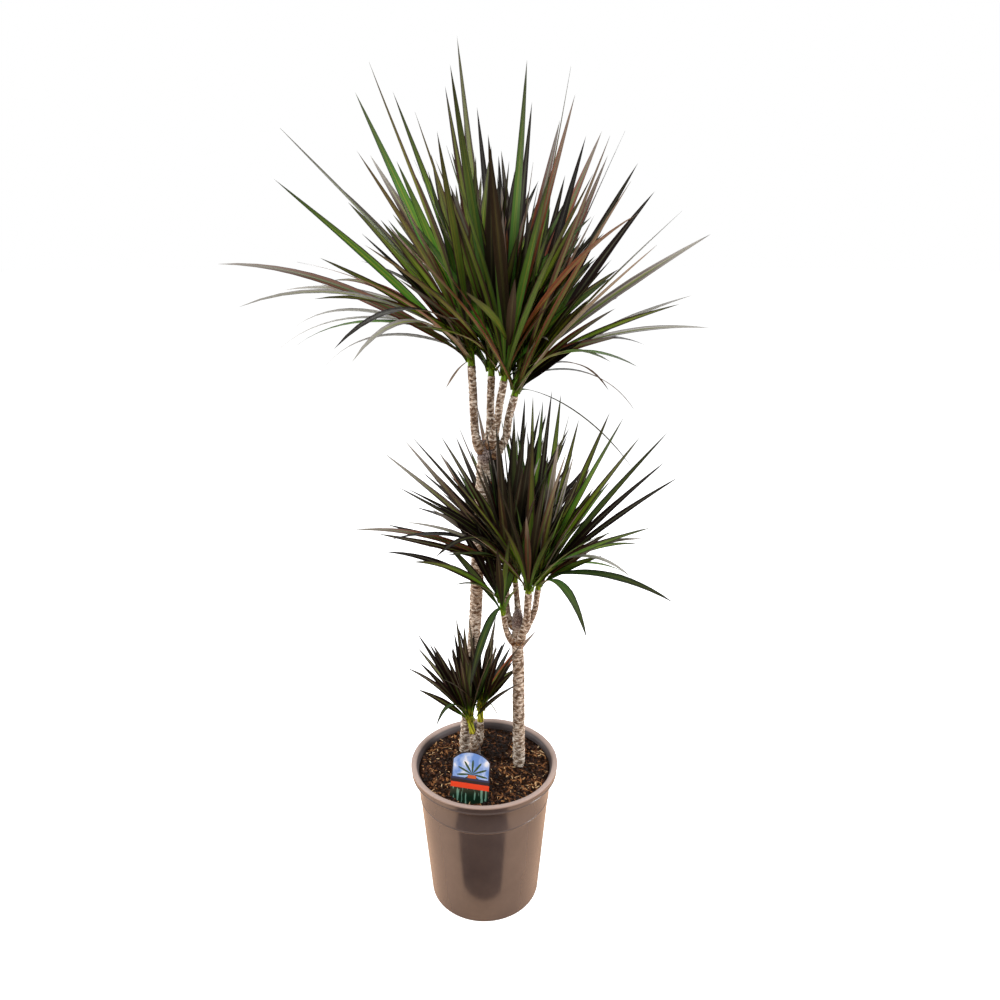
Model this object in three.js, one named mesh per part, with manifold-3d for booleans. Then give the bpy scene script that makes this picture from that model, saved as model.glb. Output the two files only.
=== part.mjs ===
// Potted dracaena marginata: three canes of different height, each cut off at the top and sprouting leafy
// shoots below the cut, standing in the soil of one grower's pot with a plant label at the front.
// Millimetres, +Z up, origin at the centre of the pot's foot. The photograph looks along +Y.

import * as THREE from "three";
import { mergeVertices } from "three/addons/utils/BufferGeometryUtils.js";
import Module from "manifold-3d";

const wasm = await Module();
wasm.setup();

// ---------------------------------------------------------------- driving dimensions

const GAP = 0.3; // between pieces that touch
const FINEST = 0.02; // faces finer than this are merged
const POT = { height: 216, rimRadius: 105, lipWidth: 6, skirt: 13, topRadius: 97, footRadius: 79, wall: 2 };
const FOOT = { boss: 16, recess: 54, lift: 3, holes: 6, holeRadius: 5, holeRing: 36 };
const BEAD = { height: 165, proud: 1, width: 3 };
const SOIL = { level: 205, crown: 2, relief: 1.6 };
const BURIED = 85; // of each cane, below the soil's level
const LABEL = { width: 52, shoulder: 65, arch: 13, thick: 0.6, neck: 18, spike: 34 };
const LABEL_TURN = { lean: 6, yaw: -8, roll: -3.5 };
const LABEL_FOOT = [-20, -83]; // where it enters the soil
const POT_SIDES = 30;

// ---------------------------------------------------------------- the photograph's viewpoint

// A point of the photograph, in its 1000 x 1000 pixels, is a line of sight from this eye.
const EYE = new THREE.Vector3(22.5, -981, 925);
const PITCH = THREE.MathUtils.degToRad(17.9);
const FOCAL = 800;
const MIDDLE = 500;

const UP = new THREE.Vector3(0, 0, 1);

function sightLine(px, py) {
  const right = (px - MIDDLE) / FOCAL;
  const up = (MIDDLE - py) / FOCAL;
  const forward = Math.cos(PITCH) + up * Math.sin(PITCH);
  return new THREE.Vector3(right, forward, up * Math.cos(PITCH) - Math.sin(PITCH));
}

// The place seen at a pixel, at a depth y behind the pot's axis.
function seen(px, py, depth) {
  const sight = sightLine(px, py);
  return EYE.clone().addScaledVector(sight, (depth - EYE.y) / sight.y);
}

// The place seen at a pixel, at a distance from a root: in front of it (side 1) or behind it (side -1).
function reach(px, py, root, distance, side) {
  const sight = sightLine(px, py).normalize();
  const toRoot = root.clone().sub(EYE);
  const nearest = toRoot.dot(sight);
  const spare = distance * distance - (toRoot.lengthSq() - nearest * nearest);
  return EYE.clone().addScaledVector(sight, nearest - side * Math.sqrt(Math.max(spare, 0)));
}

// ---------------------------------------------------------------- canes and shoots

// Routes are points of the photograph: pixel x, pixel y and the depth behind the pot's axis.
const CANES = [
  {
    name: "tall",
    radius: 8.2,
    topRadius: 10.6,
    scar: 28,
    route: [
      [465.1, 750, 38], [470, 690, 38], [475, 623, 37], [477.7, 564, 36],
      [482, 500, 35], [487, 440, 34],
    ],
    branches: [
      {
        radius: 5.0,
        route: [[484, 453, 33], [478, 444, 29], [474.9, 430, 28], [473.6, 406, 29], [471.6, 366, 31]],
      },
      {
        radius: 4.6,
        route: [[488, 449, 36], [489.4, 436, 42], [490, 420, 45], [490.6, 400, 46], [491.3, 376, 46]],
      },
      {
        radius: 4.7,
        route: [[488, 449, 31], [493.2, 437, 24], [496.4, 426, 22], [499.6, 405, 22], [503.8, 381, 23]],
      },
      {
        radius: 4.8,
        route: [[489, 458, 34], [498.5, 450, 33], [505.4, 438, 33], [508.6, 419, 33], [514.5, 396, 33]],
      },
    ],
  },
  {
    name: "middle",
    radius: 8.3,
    topRadius: 6.8,
    scar: 28,
    route: [[518.8, 764.5, 3], [518.6, 715, 3], [518.4, 669, 3], [517.6, 645, 3], [517.6, 609, 3]],
    branches: [
      {
        radius: 3.6,
        route: [[516, 645, 3], [509.5, 637, -1], [506, 629, -4], [504.4, 621, -5], [503.4, 615, -5]],
      },
      {
        radius: 3.9,
        route: [[516, 630, 6], [509, 619, 11], [506.6, 604, 14], [506.6, 590, 15], [507, 573, 15]],
      },
      {
        radius: 3.8,
        route: [[518, 624, 6], [518, 611, 17], [517, 600, 20], [516, 590, 21], [515.4, 582, 21]],
      },
      {
        radius: 4.8,
        route: [[518, 645, 3], [522.5, 633, -3], [526.4, 620, -6], [527.8, 605, -7], [528.4, 593, -7]],
      },
      {
        radius: 4.0,
        route: [[520, 636, 6], [529, 623, 7], [534.4, 611, 7], [536.6, 599, 6], [538, 589, 5]],
      },
    ],
  },
  {
    name: "short",
    radius: 7.2,
    topRadius: 7.2,
    scar: 22,
    route: [[475.5, 757, 20], [475.6, 748, 20], [475.7, 736, 20]],
    branches: [
      { radius: 4.4, route: [[475, 750, 18], [474.2, 743, 13], [473.5, 738, 12], [472.6, 733, 12]] },
      { radius: 4.8, route: [[476, 747, 21], [479, 738, 23], [480.2, 730, 24], [480.4, 721, 24]] },
    ],
  },
];
const SCAR_DEPTH = 0.07; // of a cane's radius, between its leaf scars
const BRANCH_SCAR = 12;
const KNOB = 1.45; // a branch's swelling where it leaves the cane, in its radii
const KNOB_LENGTH = 14;

// ---------------------------------------------------------------- leaves

// Each shoot's leaves: those whose tips stand out in the photograph, as pixel x, pixel y, side (1 towards
// the viewer, -1 away) and arch, and a number of others that fill the shoot in a spiral. Those end inside
// the crown's dense middle, an ellipse of the photograph given in pixels. The lowest share of a shoot's core
// is bare of leaves.
const CROWNS = [
  {
    name: "tall",
    width: 15,
    length: 335,
    core: 52,
    coreRadius: 9,
    bare: 0.1,
    dense: { x: 470, y: 290, wide: 155, high: 150 },
    spread: 62,
    heads: [
      {
        fill: 7,
        start: 40,
        tips: [
          [218, 264, -1, 0.3], [297, 262, 1, 0.2], [280, 128, 1, 0.06], [274, 179, -1, 0.05],
          [369, 62, 1, 0.03], [355, 92, -1, 0.03], [357, 151, 1, 0.08], [330, 281, -1, 0.3],
          [285, 290, 1, 0.25], [239, 307, 1, 0.4], [296, 326, -1, 0.45], [278, 350, 1, 0.5],
          [334, 349, -1, 0.4], [326, 365, 1, 0.45], [370, 155, -1, 0.04], [437, 131, 1, 0.02],
          [352, 362, 1, 0.5],
        ],
      },
      {
        fill: 10,
        start: 115,
        tips: [
          [393, 92, -1, 0.03], [415, 112, 1, 0.04], [445, 86, -1, 0.02], [450, 64, -1, 0.02],
          [457, 36, 1, 0.02], [361, 261, -1, 0.2], [314, 299, -1, 0.35], [297, 345, -1, 0.45],
          [341, 188, -1, 0.1], [365, 245, -1, 0.1], [464, 124, -1, 0.02],
        ],
      },
      {
        fill: 10,
        start: 200,
        tips: [
          [477, 107, -1, 0.02], [488, 134, 1, 0.02], [527, 60, -1, 0.02], [532, 102, 1, 0.03],
          [575, 95, 1, 0.04], [602, 131, -1, 0.05], [593, 174, 1, 0.05], [639, 213, 1, 0.2],
          [560, 120, -1, 0.04],
        ],
      },
      {
        fill: 8,
        start: 300,
        tips: [
          [571, 66, -1, 0.03], [610, 136, 1, 0.04], [586, 136, -1, 0.03], [625, 131, -1, 0.04],
          [608, 155, 1, 0.05], [638, 163, -1, 0.05], [631, 181, 1, 0.08], [655, 191, -1, 0.1],
          [682, 211, 1, 0.08], [711, 234, -1, 0.08], [657, 245, 1, 0.08], [693, 295, -1, 0.12],
          [680, 304, 1, 0.1], [710, 328, 1, 0.2], [645, 345, -1, 0.25], [638, 367, 1, 0.3],
          [609, 391, 1, 0.4], [635, 411, -1, 0.45], [611, 362, -1, 0.25],
        ],
      },
    ],
  },
  {
    name: "middle",
    width: 11.5,
    length: 235,
    core: 36,
    coreRadius: 7.4,
    bare: 0.1,
    dense: { x: 500, y: 530, wide: 112, high: 112 },
    spread: 56,
    heads: [
      {
        fill: 4,
        start: 20,
        spread: 40,
        length: 150,
        tips: [
          [385, 552, 1, 0.3], [412, 562, -1, 0.3], [455, 585, -1, 0.25], [470, 688, 1, 0.7],
          [527, 584, 1, 0.2], [480, 560, -1, 0.05], [497, 548, 1, 0.04],
        ],
      },
      {
        fill: 6,
        start: 80,
        tips: [
          [413, 438, 1, 0.05], [384, 453, -1, 0.06], [398, 487, 1, 0.06], [439, 452, -1, 0.05],
          [429, 474, -1, 0.05], [458, 425, 1, 0.04], [470, 449, -1, 0.03], [352, 530, 1, 0.25],
          [389, 540, -1, 0.3], [415, 507, -1, 0.1], [435, 558, -1, 0.35], [477, 405, 1, 0.03],
          [405, 441, -1, 0.05], [456, 437, 1, 0.04], [464, 457, 1, 0.03], [449, 470, 1, 0.06],
          [421, 471, 1, 0.08], [405, 522, 1, 0.15],
        ],
      },
      {
        fill: 8,
        start: 150,
        tips: [
          [514, 412, 1, 0.02], [517, 434, -1, 0.02], [525, 397, -1, 0.03], [567, 436, -1, 0.08],
          [525, 415, -1, 0.03],
        ],
      },
      {
        fill: 8,
        start: 230,
        tips: [
          [533, 395, 1, 0.02], [543, 400, -1, 0.03], [552, 390, -1, 0.02], [570, 412, 1, 0.03],
          [619, 531, 1, 0.2], [653, 527, 1, 0.1], [639, 544, 1, 0.25], [627, 574, -1, 0.4],
        ],
      },
      {
        fill: 6,
        start: 310,
        tips: [
          [561, 394, -1, 0.03], [579, 419, -1, 0.03], [610, 412, -1, 0.03], [624, 417, 1, 0.04],
          [640, 437, -1, 0.05], [668, 432, -1, 0.06], [666, 461, 1, 0.08], [679, 477, -1, 0.1],
          [646, 539, -1, 0.25], [633, 579, -1, 0.4], [674, 603, 1, 0.3], [587, 639, 1, 0.6],
        ],
      },
    ],
  },
  {
    name: "short",
    width: 11,
    length: 165,
    core: 44,
    coreRadius: 5.4,
    bare: 0.4,
    dense: { x: 468, y: 690, wide: 55, high: 62 },
    spread: 50,
    heads: [
      {
        fill: 6,
        start: 0,
        tips: [
          [407, 668, 1, 0.2], [417, 633, 1, 0.05], [417, 647, -1, 0.08], [429, 643, 1, 0.03],
          [445, 633, -1, 0.03], [454, 632, -1, 0.03], [456, 617, 1, 0.02], [443, 644, 1, 0.04],
          [436, 727, 1, 0.8], [464, 625, 1, 0.03],
        ],
      },
      {
        fill: 6,
        start: 120,
        tips: [
          [468, 613, -1, 0.02], [496, 616, -1, 0.02], [502, 623, 1, 0.03], [506, 640, -1, 0.04],
          [526, 637, 1, 0.06], [537, 630, 1, 0.08], [526, 669, 1, 0.25], [511, 646, 1, 0.05],
        ],
      },
    ],
  },
];
const GOLDEN_ANGLE = 137.508; // between one leaf of a spiral and the next, in degrees
const LEAF_SEGMENTS = 4;
const KEEL = 1.2; // depth of a blade below its two edges
const FACING = { flat: 22, steep: 42 }; // how far leaves turn their faces to the light in front, in degrees
const TWIST = 50; // range of a leaf's own twist over its length, in degrees
const LEVEL_WIDTH = 0.6; // width of a leaf that lies level, as a share of an upright one's
const CLEARANCE = 2; // kept to the canes and to the leaves of the other crowns
const CROWDING = 0.8; // share of a leaf's width that should cross no leaf of its own crown
const TRIES = 36; // lines tried for a leaf
const SHORTEST = 0.5; // share of its length that a leaf is shortened to, at most, to end in the dense middle
const PROBES = 18; // places along a leaf at which its clearance is tried

// A seeded draw between 0 and 1, the same on every run.
let seed = 20450;
function draw() {
  seed = (seed * 1664525 + 1013904223) % 4294967296;
  return seed / 4294967296;
}

// A leaf's width along its length, as a share of its greatest: a narrow neck, a wide middle, a long taper.
function leafWidth(t) {
  const blade = Math.pow(Math.min(t / 0.38, 1), 0.7) * Math.pow(Math.min((1 - t) / 0.5, 1), 0.75);
  return Math.max(blade, 0.24 * (1 - t));
}

// The line that a leaf follows: out of the shoot, then over to its tip. The arch is how much it sags.
function leafLine(root, tip, grow, arch) {
  const chord = tip.clone().sub(root);
  const span = chord.length();
  chord.normalize();
  const upright = 0.16 + 0.32 * arch;
  const leave = chord.clone().multiplyScalar(1 - upright).addScaledVector(grow, upright).normalize();
  const arrive = chord.clone().addScaledVector(UP, -1.2 * arch).normalize();
  return new THREE.CubicBezierCurve3(
    root,
    root.clone().addScaledVector(leave, span * (0.32 - 0.1 * arch)),
    tip.clone().addScaledVector(arrive, -span * 0.36),
    tip,
  );
}

// How many of the given balls, each a centre and a radius, a leaf comes too near.
function touches(line, width, clearance, first, balls) {
  let count = 0;
  for (let i = first; i <= PROBES; i++) {
    const t = i / PROBES;
    const place = line.getPoint(t);
    const half = (leafWidth(t) * width) / 2 + clearance;
    for (const ball of balls) {
      if (place.distanceToSquared(ball.centre) < (half + ball.radius) ** 2) count += 1;
    }
  }
  return count;
}

// Whether a place is seen inside an ellipse of the photograph.
function seenInside(place, { x, y, wide, high }) {
  const from = place.clone().sub(EYE);
  const ahead = from.y * Math.cos(PITCH) - from.z * Math.sin(PITCH);
  const above = from.y * Math.sin(PITCH) + from.z * Math.cos(PITCH);
  const px = MIDDLE + (FOCAL * from.x) / ahead;
  const py = MIDDLE - (FOCAL * above) / ahead;
  return Math.hypot((px - x) / wide, (py - y) / high) < 1;
}

// The first of the tried lines that crosses no other leaf, or the one that crosses fewest. None may come
// near a cane or a leaf of another crown.
function bestLine(lines, width, others, own) {
  let best = null;
  let fewest = Infinity;
  for (const line of lines) {
    if (touches(line, width, CLEARANCE, 3, others) > 0) continue;
    const count = touches(line, width * CROWDING, 0, 1, own);
    if (count < fewest) [best, fewest] = [line, count];
    if (count === 0) break;
  }
  return best;
}

// The lines tried for a leaf whose tip is given in the photograph: the tip moves along the line of sight.
function pictureLines(head, length, [px, py, side, arch]) {
  const share = head.bare + (0.85 - head.bare) * draw();
  const root = head.place.clone().addScaledVector(head.axis, head.core * share);
  const lines = [];
  for (let k = 0; k < TRIES; k++) {
    const distance = length * (1 - 0.018 * Math.floor(k / 2));
    const tip = reach(px, py, root, distance, k % 2 ? -side : side);
    lines.push(leafLine(root, tip, head.grow, arch));
  }
  return lines;
}

// The lines tried for a leaf of the spiral: each is turned further round the shoot. Age runs from 0,
// upright in the middle of the shoot, to 1, lowest and furthest out. Leaves lean out less in front and
// behind.
function spiralLines(head, length, spread, index, count) {
  const age = (index + 0.5) / count;
  const root = head.place.clone().addScaledVector(head.axis, head.core * (0.9 - (0.9 - head.bare) * age));
  const size = length * (0.62 + 0.3 * Math.sin(Math.PI * Math.min(age + 0.12, 0.75)) + 0.1 * draw());
  const turn = head.start + index * GOLDEN_ANGLE + (draw() - 0.5) * 24;
  const jitter = (draw() - 0.5) * 12;
  const [first, second] = across(head.grow);
  const lines = [];
  for (let k = 0; k < TRIES; k++) {
    const bearing = THREE.MathUtils.degToRad(turn + 5 * k);
    const sideways = Math.abs(Math.cos(bearing));
    const lean = THREE.MathUtils.degToRad(
      5 + spread * Math.pow(age, 0.85) * (0.66 + 0.34 * sideways) + jitter * age,
    );
    const heading = head.grow.clone().multiplyScalar(Math.cos(lean));
    heading.addScaledVector(first, Math.sin(lean) * Math.cos(bearing));
    heading.addScaledVector(second, Math.sin(lean) * Math.sin(bearing));
    const tip = root.clone().addScaledVector(heading, size);
    for (let cut = 1; cut > SHORTEST && !seenInside(tip, head.dense); cut -= 0.06) {
      tip.copy(root).addScaledVector(heading, size * cut);
    }
    lines.push(leafLine(root, tip, head.grow, 0.03 + 0.12 * age));
  }
  return lines;
}

// ---------------------------------------------------------------- geometry helpers

function solid(geometry) {
  const plain = geometry.clone();
  for (const name of Object.keys(plain.attributes)) {
    if (name !== "position") plain.deleteAttribute(name);
  }
  const merged = mergeVertices(plain, 1e-4);
  return new wasm.Manifold(
    new wasm.Mesh({
      numProp: 3,
      vertProperties: merged.attributes.position.array,
      triVerts: new Uint32Array(merged.index.array),
    }),
  );
}

function geometryOf(manifold) {
  const mesh = manifold.getMesh();
  const geometry = new THREE.BufferGeometry();
  geometry.setAttribute("position", new THREE.BufferAttribute(mesh.vertProperties, 3));
  geometry.setIndex(new THREE.BufferAttribute(mesh.triVerts, 1));
  geometry.computeVertexNormals();
  return geometry;
}

// The largest body of a fused solid: hollows that the fusing seals are filled, and loose scraps dropped.
function largestBody(manifold) {
  return manifold.decompose().reduce((best, body) => (body.volume() > best.volume() ? body : best));
}

// A lathe turned about +Z. The profile is a list of [radius, height].
function lathe(profile, sides) {
  const points = profile.map(([r, z]) => new THREE.Vector2(r, z));
  return new THREE.LatheGeometry(points, sides).rotateX(Math.PI / 2);
}

// Two axes across a direction, the first as near +X as can be.
function across(direction) {
  const first = new THREE.Vector3(1, 0, 0).addScaledVector(direction, -direction.x).normalize();
  return [first, new THREE.Vector3().crossVectors(direction, first)];
}

// Lays a geometry that stands on the Z axis along a curve of its own height.
function layAlong(geometry, curve, height) {
  const place = geometry.getAttribute("position");
  for (let i = 0; i < place.count; i++) {
    const t = THREE.MathUtils.clamp(place.getZ(i) / height, 0, 1);
    const centre = curve.getPointAt(t);
    const [a, b] = across(curve.getTangentAt(t));
    centre.addScaledVector(a, place.getX(i)).addScaledVector(b, place.getY(i));
    place.setXYZ(i, centre.x, centre.y, centre.z);
  }
  return geometry;
}

// ---------------------------------------------------------------- pieces

function makePot() {
  const { height, rimRadius, lipWidth, skirt, topRadius, footRadius, wall } = POT;
  const taper = (topRadius - footRadius) / height;
  const body = (z) => footRadius + taper * z;
  const inner = (z) => body(z) - wall;
  const floor = FOOT.lift + wall;
  const under = height - skirt;
  const bead = BEAD.height;
  const profile = [
    [0, 0],
    [FOOT.boss, 0],
    [FOOT.boss + 2, FOOT.lift],
    [FOOT.recess, FOOT.lift],
    [FOOT.recess + 2, 0],
    [footRadius - 2.5, 0],
    [body(2.5), 2.5],
    [body(bead - BEAD.width / 2), bead - BEAD.width / 2],
    [body(bead) + BEAD.proud, bead],
    [body(bead + BEAD.width / 2), bead + BEAD.width / 2],
    [body(under), under + 1],
    [rimRadius - 2.5, under],
    [rimRadius, height - 3],
    [rimRadius - 2, height],
    [rimRadius - lipWidth + 1, height],
    [rimRadius - lipWidth - 0.6, height - 2],
    [inner(height - 6), height - 6],
    [inner(floor), floor],
    [0, floor],
  ];
  let pot = solid(lathe(profile, POT_SIDES));
  for (let i = 0; i < FOOT.holes; i++) {
    const angle = ((i + 0.5) / FOOT.holes) * 2 * Math.PI;
    const hole = new THREE.CylinderGeometry(FOOT.holeRadius, FOOT.holeRadius, 4 * floor, 8);
    hole.rotateX(Math.PI / 2);
    hole.translate(FOOT.holeRing * Math.cos(angle), FOOT.holeRing * Math.sin(angle), 0);
    pot = pot.subtract(solid(hole));
  }
  return geometryOf(pot);
}

// Crumbs and hollows of the soil's surface, as a height.
function soilRelief(x, y) {
  const hollows = Math.sin(x * 0.21 + 1.3 * Math.sin(y * 0.11));
  const coarse = hollows * Math.cos(y * 0.19 + 0.9 * Math.sin(x * 0.13));
  const fine = Math.sin(x * 0.57 + y * 0.31) * Math.sin(y * 0.63 - x * 0.23);
  return SOIL.relief * (0.6 * coarse + 0.4 * fine);
}

function makeSoil(labelSlot) {
  const taper = (POT.topRadius - POT.footRadius) / POT.height;
  const inner = (z) => POT.footRadius + taper * z - POT.wall - GAP * 1.6;
  const floor = FOOT.lift + POT.wall + GAP;
  const top = inner(SOIL.level);
  const rings = 6;
  const profile = [[0, floor], [inner(floor), floor], [top, SOIL.level]];
  for (let i = rings - 1; i >= 0; i--) {
    const share = i / rings;
    profile.push([top * share, SOIL.level + SOIL.crown * (1 - share * share)]);
  }
  const geometry = lathe(profile, POT_SIDES);
  const place = geometry.getAttribute("position");
  for (let i = 0; i < place.count; i++) {
    const radius = Math.hypot(place.getX(i), place.getY(i));
    if (place.getZ(i) < SOIL.level + 0.01 || radius > top - 1) continue;
    place.setZ(i, place.getZ(i) + soilRelief(place.getX(i), place.getY(i)));
  }
  let soil = solid(geometry);
  for (const cane of CANES) {
    const foot = caneFoot(cane);
    const depth = BURIED + GAP;
    const hole = new THREE.CylinderGeometry(cane.radius + 1, cane.radius + 1, depth + 20, 12);
    hole.rotateX(Math.PI / 2);
    hole.translate(foot.x, foot.y, SOIL.level - depth + (depth + 20) / 2);
    soil = soil.subtract(solid(hole));
  }
  return geometryOf(soil.subtract(labelSlot));
}

function caneFoot(cane) {
  const [px, py, depth] = cane.route[0];
  return seen(px, py, depth);
}

// A cane's line: straight down in the soil, then through the points seen above it.
function caneCurve(cane) {
  const foot = caneFoot(cane);
  const buried = [foot.clone().setZ(SOIL.level - BURIED), foot.clone().setZ(SOIL.level - BURIED / 2)];
  const standing = [foot.clone().setZ(SOIL.level + 6)];
  for (const [px, py, depth] of cane.route.slice(1)) standing.push(seen(px, py, depth));
  return new THREE.CatmullRomCurve3([...buried, ...standing], false, "centripetal");
}

function branchCurve(branch) {
  const points = branch.route.map(([px, py, depth]) => seen(px, py, depth));
  return new THREE.CatmullRomCurve3(points, false, "centripetal");
}

// A round stem with a leaf scar at each step: a sharp ring, and a shallow waist between two rings.
function scarredStem(curve, radiusAt, plain, step, sides) {
  const height = curve.getLength();
  const profile = [[0, 0], [radiusAt(0), 0]];
  if (plain > 0) profile.push([radiusAt(plain / height), plain]);
  const rings = Math.max(2, Math.round((height - plain) / step));
  for (let i = 1; i <= rings; i++) {
    const ring = plain + ((height - plain) * i) / rings;
    const waist = plain + ((height - plain) * (i - 0.62)) / rings;
    profile.push([radiusAt(waist / height) * (1 - SCAR_DEPTH), waist]);
    profile.push([radiusAt(ring / height), ring]);
  }
  profile.push([0, height]);
  return solid(layAlong(lathe(profile, sides), curve, height));
}

function makeCane(cane) {
  const curve = caneCurve(cane);
  const swell = (t) => cane.radius + (cane.topRadius - cane.radius) * Math.pow(t, 4);
  let wood = scarredStem(curve, swell, BURIED + 6, cane.scar, 8);
  for (const branch of cane.branches) {
    const line = branchCurve(branch);
    const height = line.getLength();
    const swollen = (t) => 1 + (KNOB - 1) * Math.exp(-(((t * height - 8) / KNOB_LENGTH) ** 2));
    wood = wood.add(scarredStem(line, (t) => branch.radius * swollen(t), 0, BRANCH_SCAR, 6));
  }
  return geometryOf(wood.simplify(FINEST));
}

// The shoot at the end of a branch: where it starts, its direction, and the direction its leaves turn to.
function makeHead(branch, crown, start) {
  const [before, end] = branch.route.slice(-2).map(([px, py, depth]) => seen(px, py, depth));
  const axis = end.clone().sub(before).normalize();
  const place = end.clone().addScaledVector(axis, GAP);
  const grow = axis.clone().addScaledVector(UP, 0.6).normalize();
  return { place, axis, grow, core: crown.core, bare: crown.bare, dense: crown.dense, start };
}

// The green end of a shoot, which the leaves' bases clasp.
function makeCore(head, stemRadius, crown) {
  const { core, coreRadius } = crown;
  const profile = [
    [0, 0],
    [stemRadius * 0.95, 0],
    [coreRadius, core * 0.4],
    [coreRadius * 0.75, core],
    [0, core * 1.15],
  ];
  const upright = new THREE.Quaternion().setFromUnitVectors(UP, head.axis);
  const turned = lathe(profile, 8).applyQuaternion(upright);
  return solid(turned.translate(head.place.x, head.place.y, head.place.z));
}

// All the leaves of a crown. What the photograph shows is placed first, then the rest between them.
function growCrown(crown, cane, others) {
  const leaves = [];
  const own = [];
  const add = (lines, twist) => {
    const line = bestLine(lines, crown.width, others, own);
    if (!line) return;
    leaves.push({ line, width: crown.width, twist });
    own.push(...leafBalls(line, crown.width));
  };
  const heads = crown.heads.map((spec, i) => makeHead(cane.branches[i], crown, spec.start));
  crown.heads.forEach((spec, i) => {
    for (const tip of spec.tips) {
      add(pictureLines(heads[i], spec.length ?? crown.length, tip), TWIST * (draw() - 0.5));
    }
  });
  crown.heads.forEach((spec, i) => {
    const { length = crown.length, spread = crown.spread, fill } = spec;
    for (let n = 0; n < fill; n++) {
      add(spiralLines(heads[i], length, spread, n, fill), TWIST * (draw() - 0.5));
    }
  });
  const cores = heads.map((head, i) => makeCore(head, cane.branches[i].radius, crown));
  return { leaves, cores, balls: own };
}

// One blade: a long cone of three sides laid along the leaf's line, with two edges and a keel below.
function makeBlade({ line, width, twist }) {
  const cone = new THREE.ConeGeometry(1, 1, 3, LEAF_SEGMENTS).rotateX(Math.PI / 2).translate(0, 0, 0.5);
  const place = cone.getAttribute("position");
  const heading = line.getPoint(1).sub(line.getPoint(0));
  const level = new THREE.Vector3(-heading.y, heading.x, 0).normalize();
  const rising = Math.max(heading.normalize().z, 0);
  const facing = level.y * (FACING.flat + FACING.steep * rising);
  const half = (width * (LEVEL_WIDTH + (1 - LEVEL_WIDTH) * rising)) / 2;
  for (let i = 0; i < place.count; i++) {
    const t = Math.pow(THREE.MathUtils.clamp(place.getZ(i), 0, 1), 1.15);
    const tangent = line.getTangent(t);
    const turn = twist * t + facing * Math.min(4 * t, 1);
    const side = level.clone().applyAxisAngle(tangent, THREE.MathUtils.degToRad(turn));
    side.addScaledVector(tangent, -side.dot(tangent)).normalize();
    const upper = new THREE.Vector3().crossVectors(tangent, side);
    const spot = line.getPoint(t);
    const outward = Math.hypot(place.getX(i), place.getY(i));
    const corner = Math.round(Math.atan2(place.getX(i), -place.getY(i)) / ((2 * Math.PI) / 3));
    if (outward > 0.01 && corner === 0) spot.addScaledVector(upper, -KEEL);
    if (outward > 0.01 && corner !== 0) spot.addScaledVector(side, corner * leafWidth(t) * half);
    place.setXYZ(i, spot.x, spot.y, spot.z);
  }
  return solid(cone);
}

// Balls along a cane and its branches, and along a leaf, which other leaves keep clear of.
function ballsAlong(points, radius) {
  const balls = [];
  for (let i = 1; i < points.length; i++) {
    const count = Math.ceil(points[i].distanceTo(points[i - 1]) / 6);
    for (let k = 0; k <= count; k++) {
      balls.push({ centre: points[i - 1].clone().lerp(points[i], k / count), radius });
    }
  }
  return balls;
}

function caneBalls(cane) {
  const along = (route) => route.map(([px, py, depth]) => seen(px, py, depth));
  return [
    ...ballsAlong(along(cane.route), cane.topRadius + 1),
    ...cane.branches.flatMap((branch) => ballsAlong(along(branch.route), branch.radius + 1)),
  ];
}

function leafBalls(line, width) {
  const balls = [];
  for (let i = 3; i <= 2 * PROBES; i++) {
    const t = i / (2 * PROBES);
    balls.push({ centre: line.getPoint(t), radius: (leafWidth(t) * width) / 2 });
  }
  return balls;
}

// The label's outline: a card with an arched top, drawn in to a pointed spike below.
function labelOutline(grow) {
  const half = LABEL.width / 2 + grow;
  const rise = LABEL.arch;
  const radius = (half * half + rise * rise) / (2 * rise);
  const sweep = Math.asin(half / radius);
  const shape = new THREE.Shape();
  shape.moveTo(-LABEL.neck / 2 - grow, 0);
  shape.lineTo(-half, 10);
  shape.lineTo(-half, LABEL.shoulder);
  shape.absarc(0, LABEL.shoulder + rise - radius, radius, Math.PI / 2 + sweep, Math.PI / 2 - sweep, true);
  shape.lineTo(half, 10);
  shape.lineTo(LABEL.neck / 2 + grow, 0);
  shape.lineTo(1.5 + grow, -LABEL.spike - grow);
  shape.lineTo(-1.5 - grow, -LABEL.spike - grow);
  return shape;
}

function labelGeometry(grow) {
  const depth = LABEL.thick + 2 * grow;
  const settings = { depth, bevelEnabled: false, curveSegments: 5 };
  const plate = new THREE.ExtrudeGeometry(labelOutline(grow), settings);
  plate.translate(0, 0, -depth / 2).rotateX(Math.PI / 2);
  plate.rotateY(THREE.MathUtils.degToRad(-LABEL_TURN.roll));
  plate.rotateX(THREE.MathUtils.degToRad(-LABEL_TURN.lean));
  plate.rotateZ(THREE.MathUtils.degToRad(LABEL_TURN.yaw));
  return plate.translate(LABEL_FOOT[0], LABEL_FOOT[1], SOIL.level);
}

// ---------------------------------------------------------------- the plant

const plant = new THREE.Group();

function addPiece(name, geometry, color, roughness) {
  const mesh = new THREE.Mesh(geometry, new THREE.MeshStandardMaterial({ color, roughness, metalness: 0 }));
  mesh.name = name;
  plant.add(mesh);
}

addPiece("pot", makePot(), 0x86736a, 0.35);
addPiece("soil", makeSoil(solid(labelGeometry(GAP + 0.2))), 0x3b2617, 0.95);
addPiece("label", labelGeometry(0), 0x31506a, 0.4);

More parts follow.
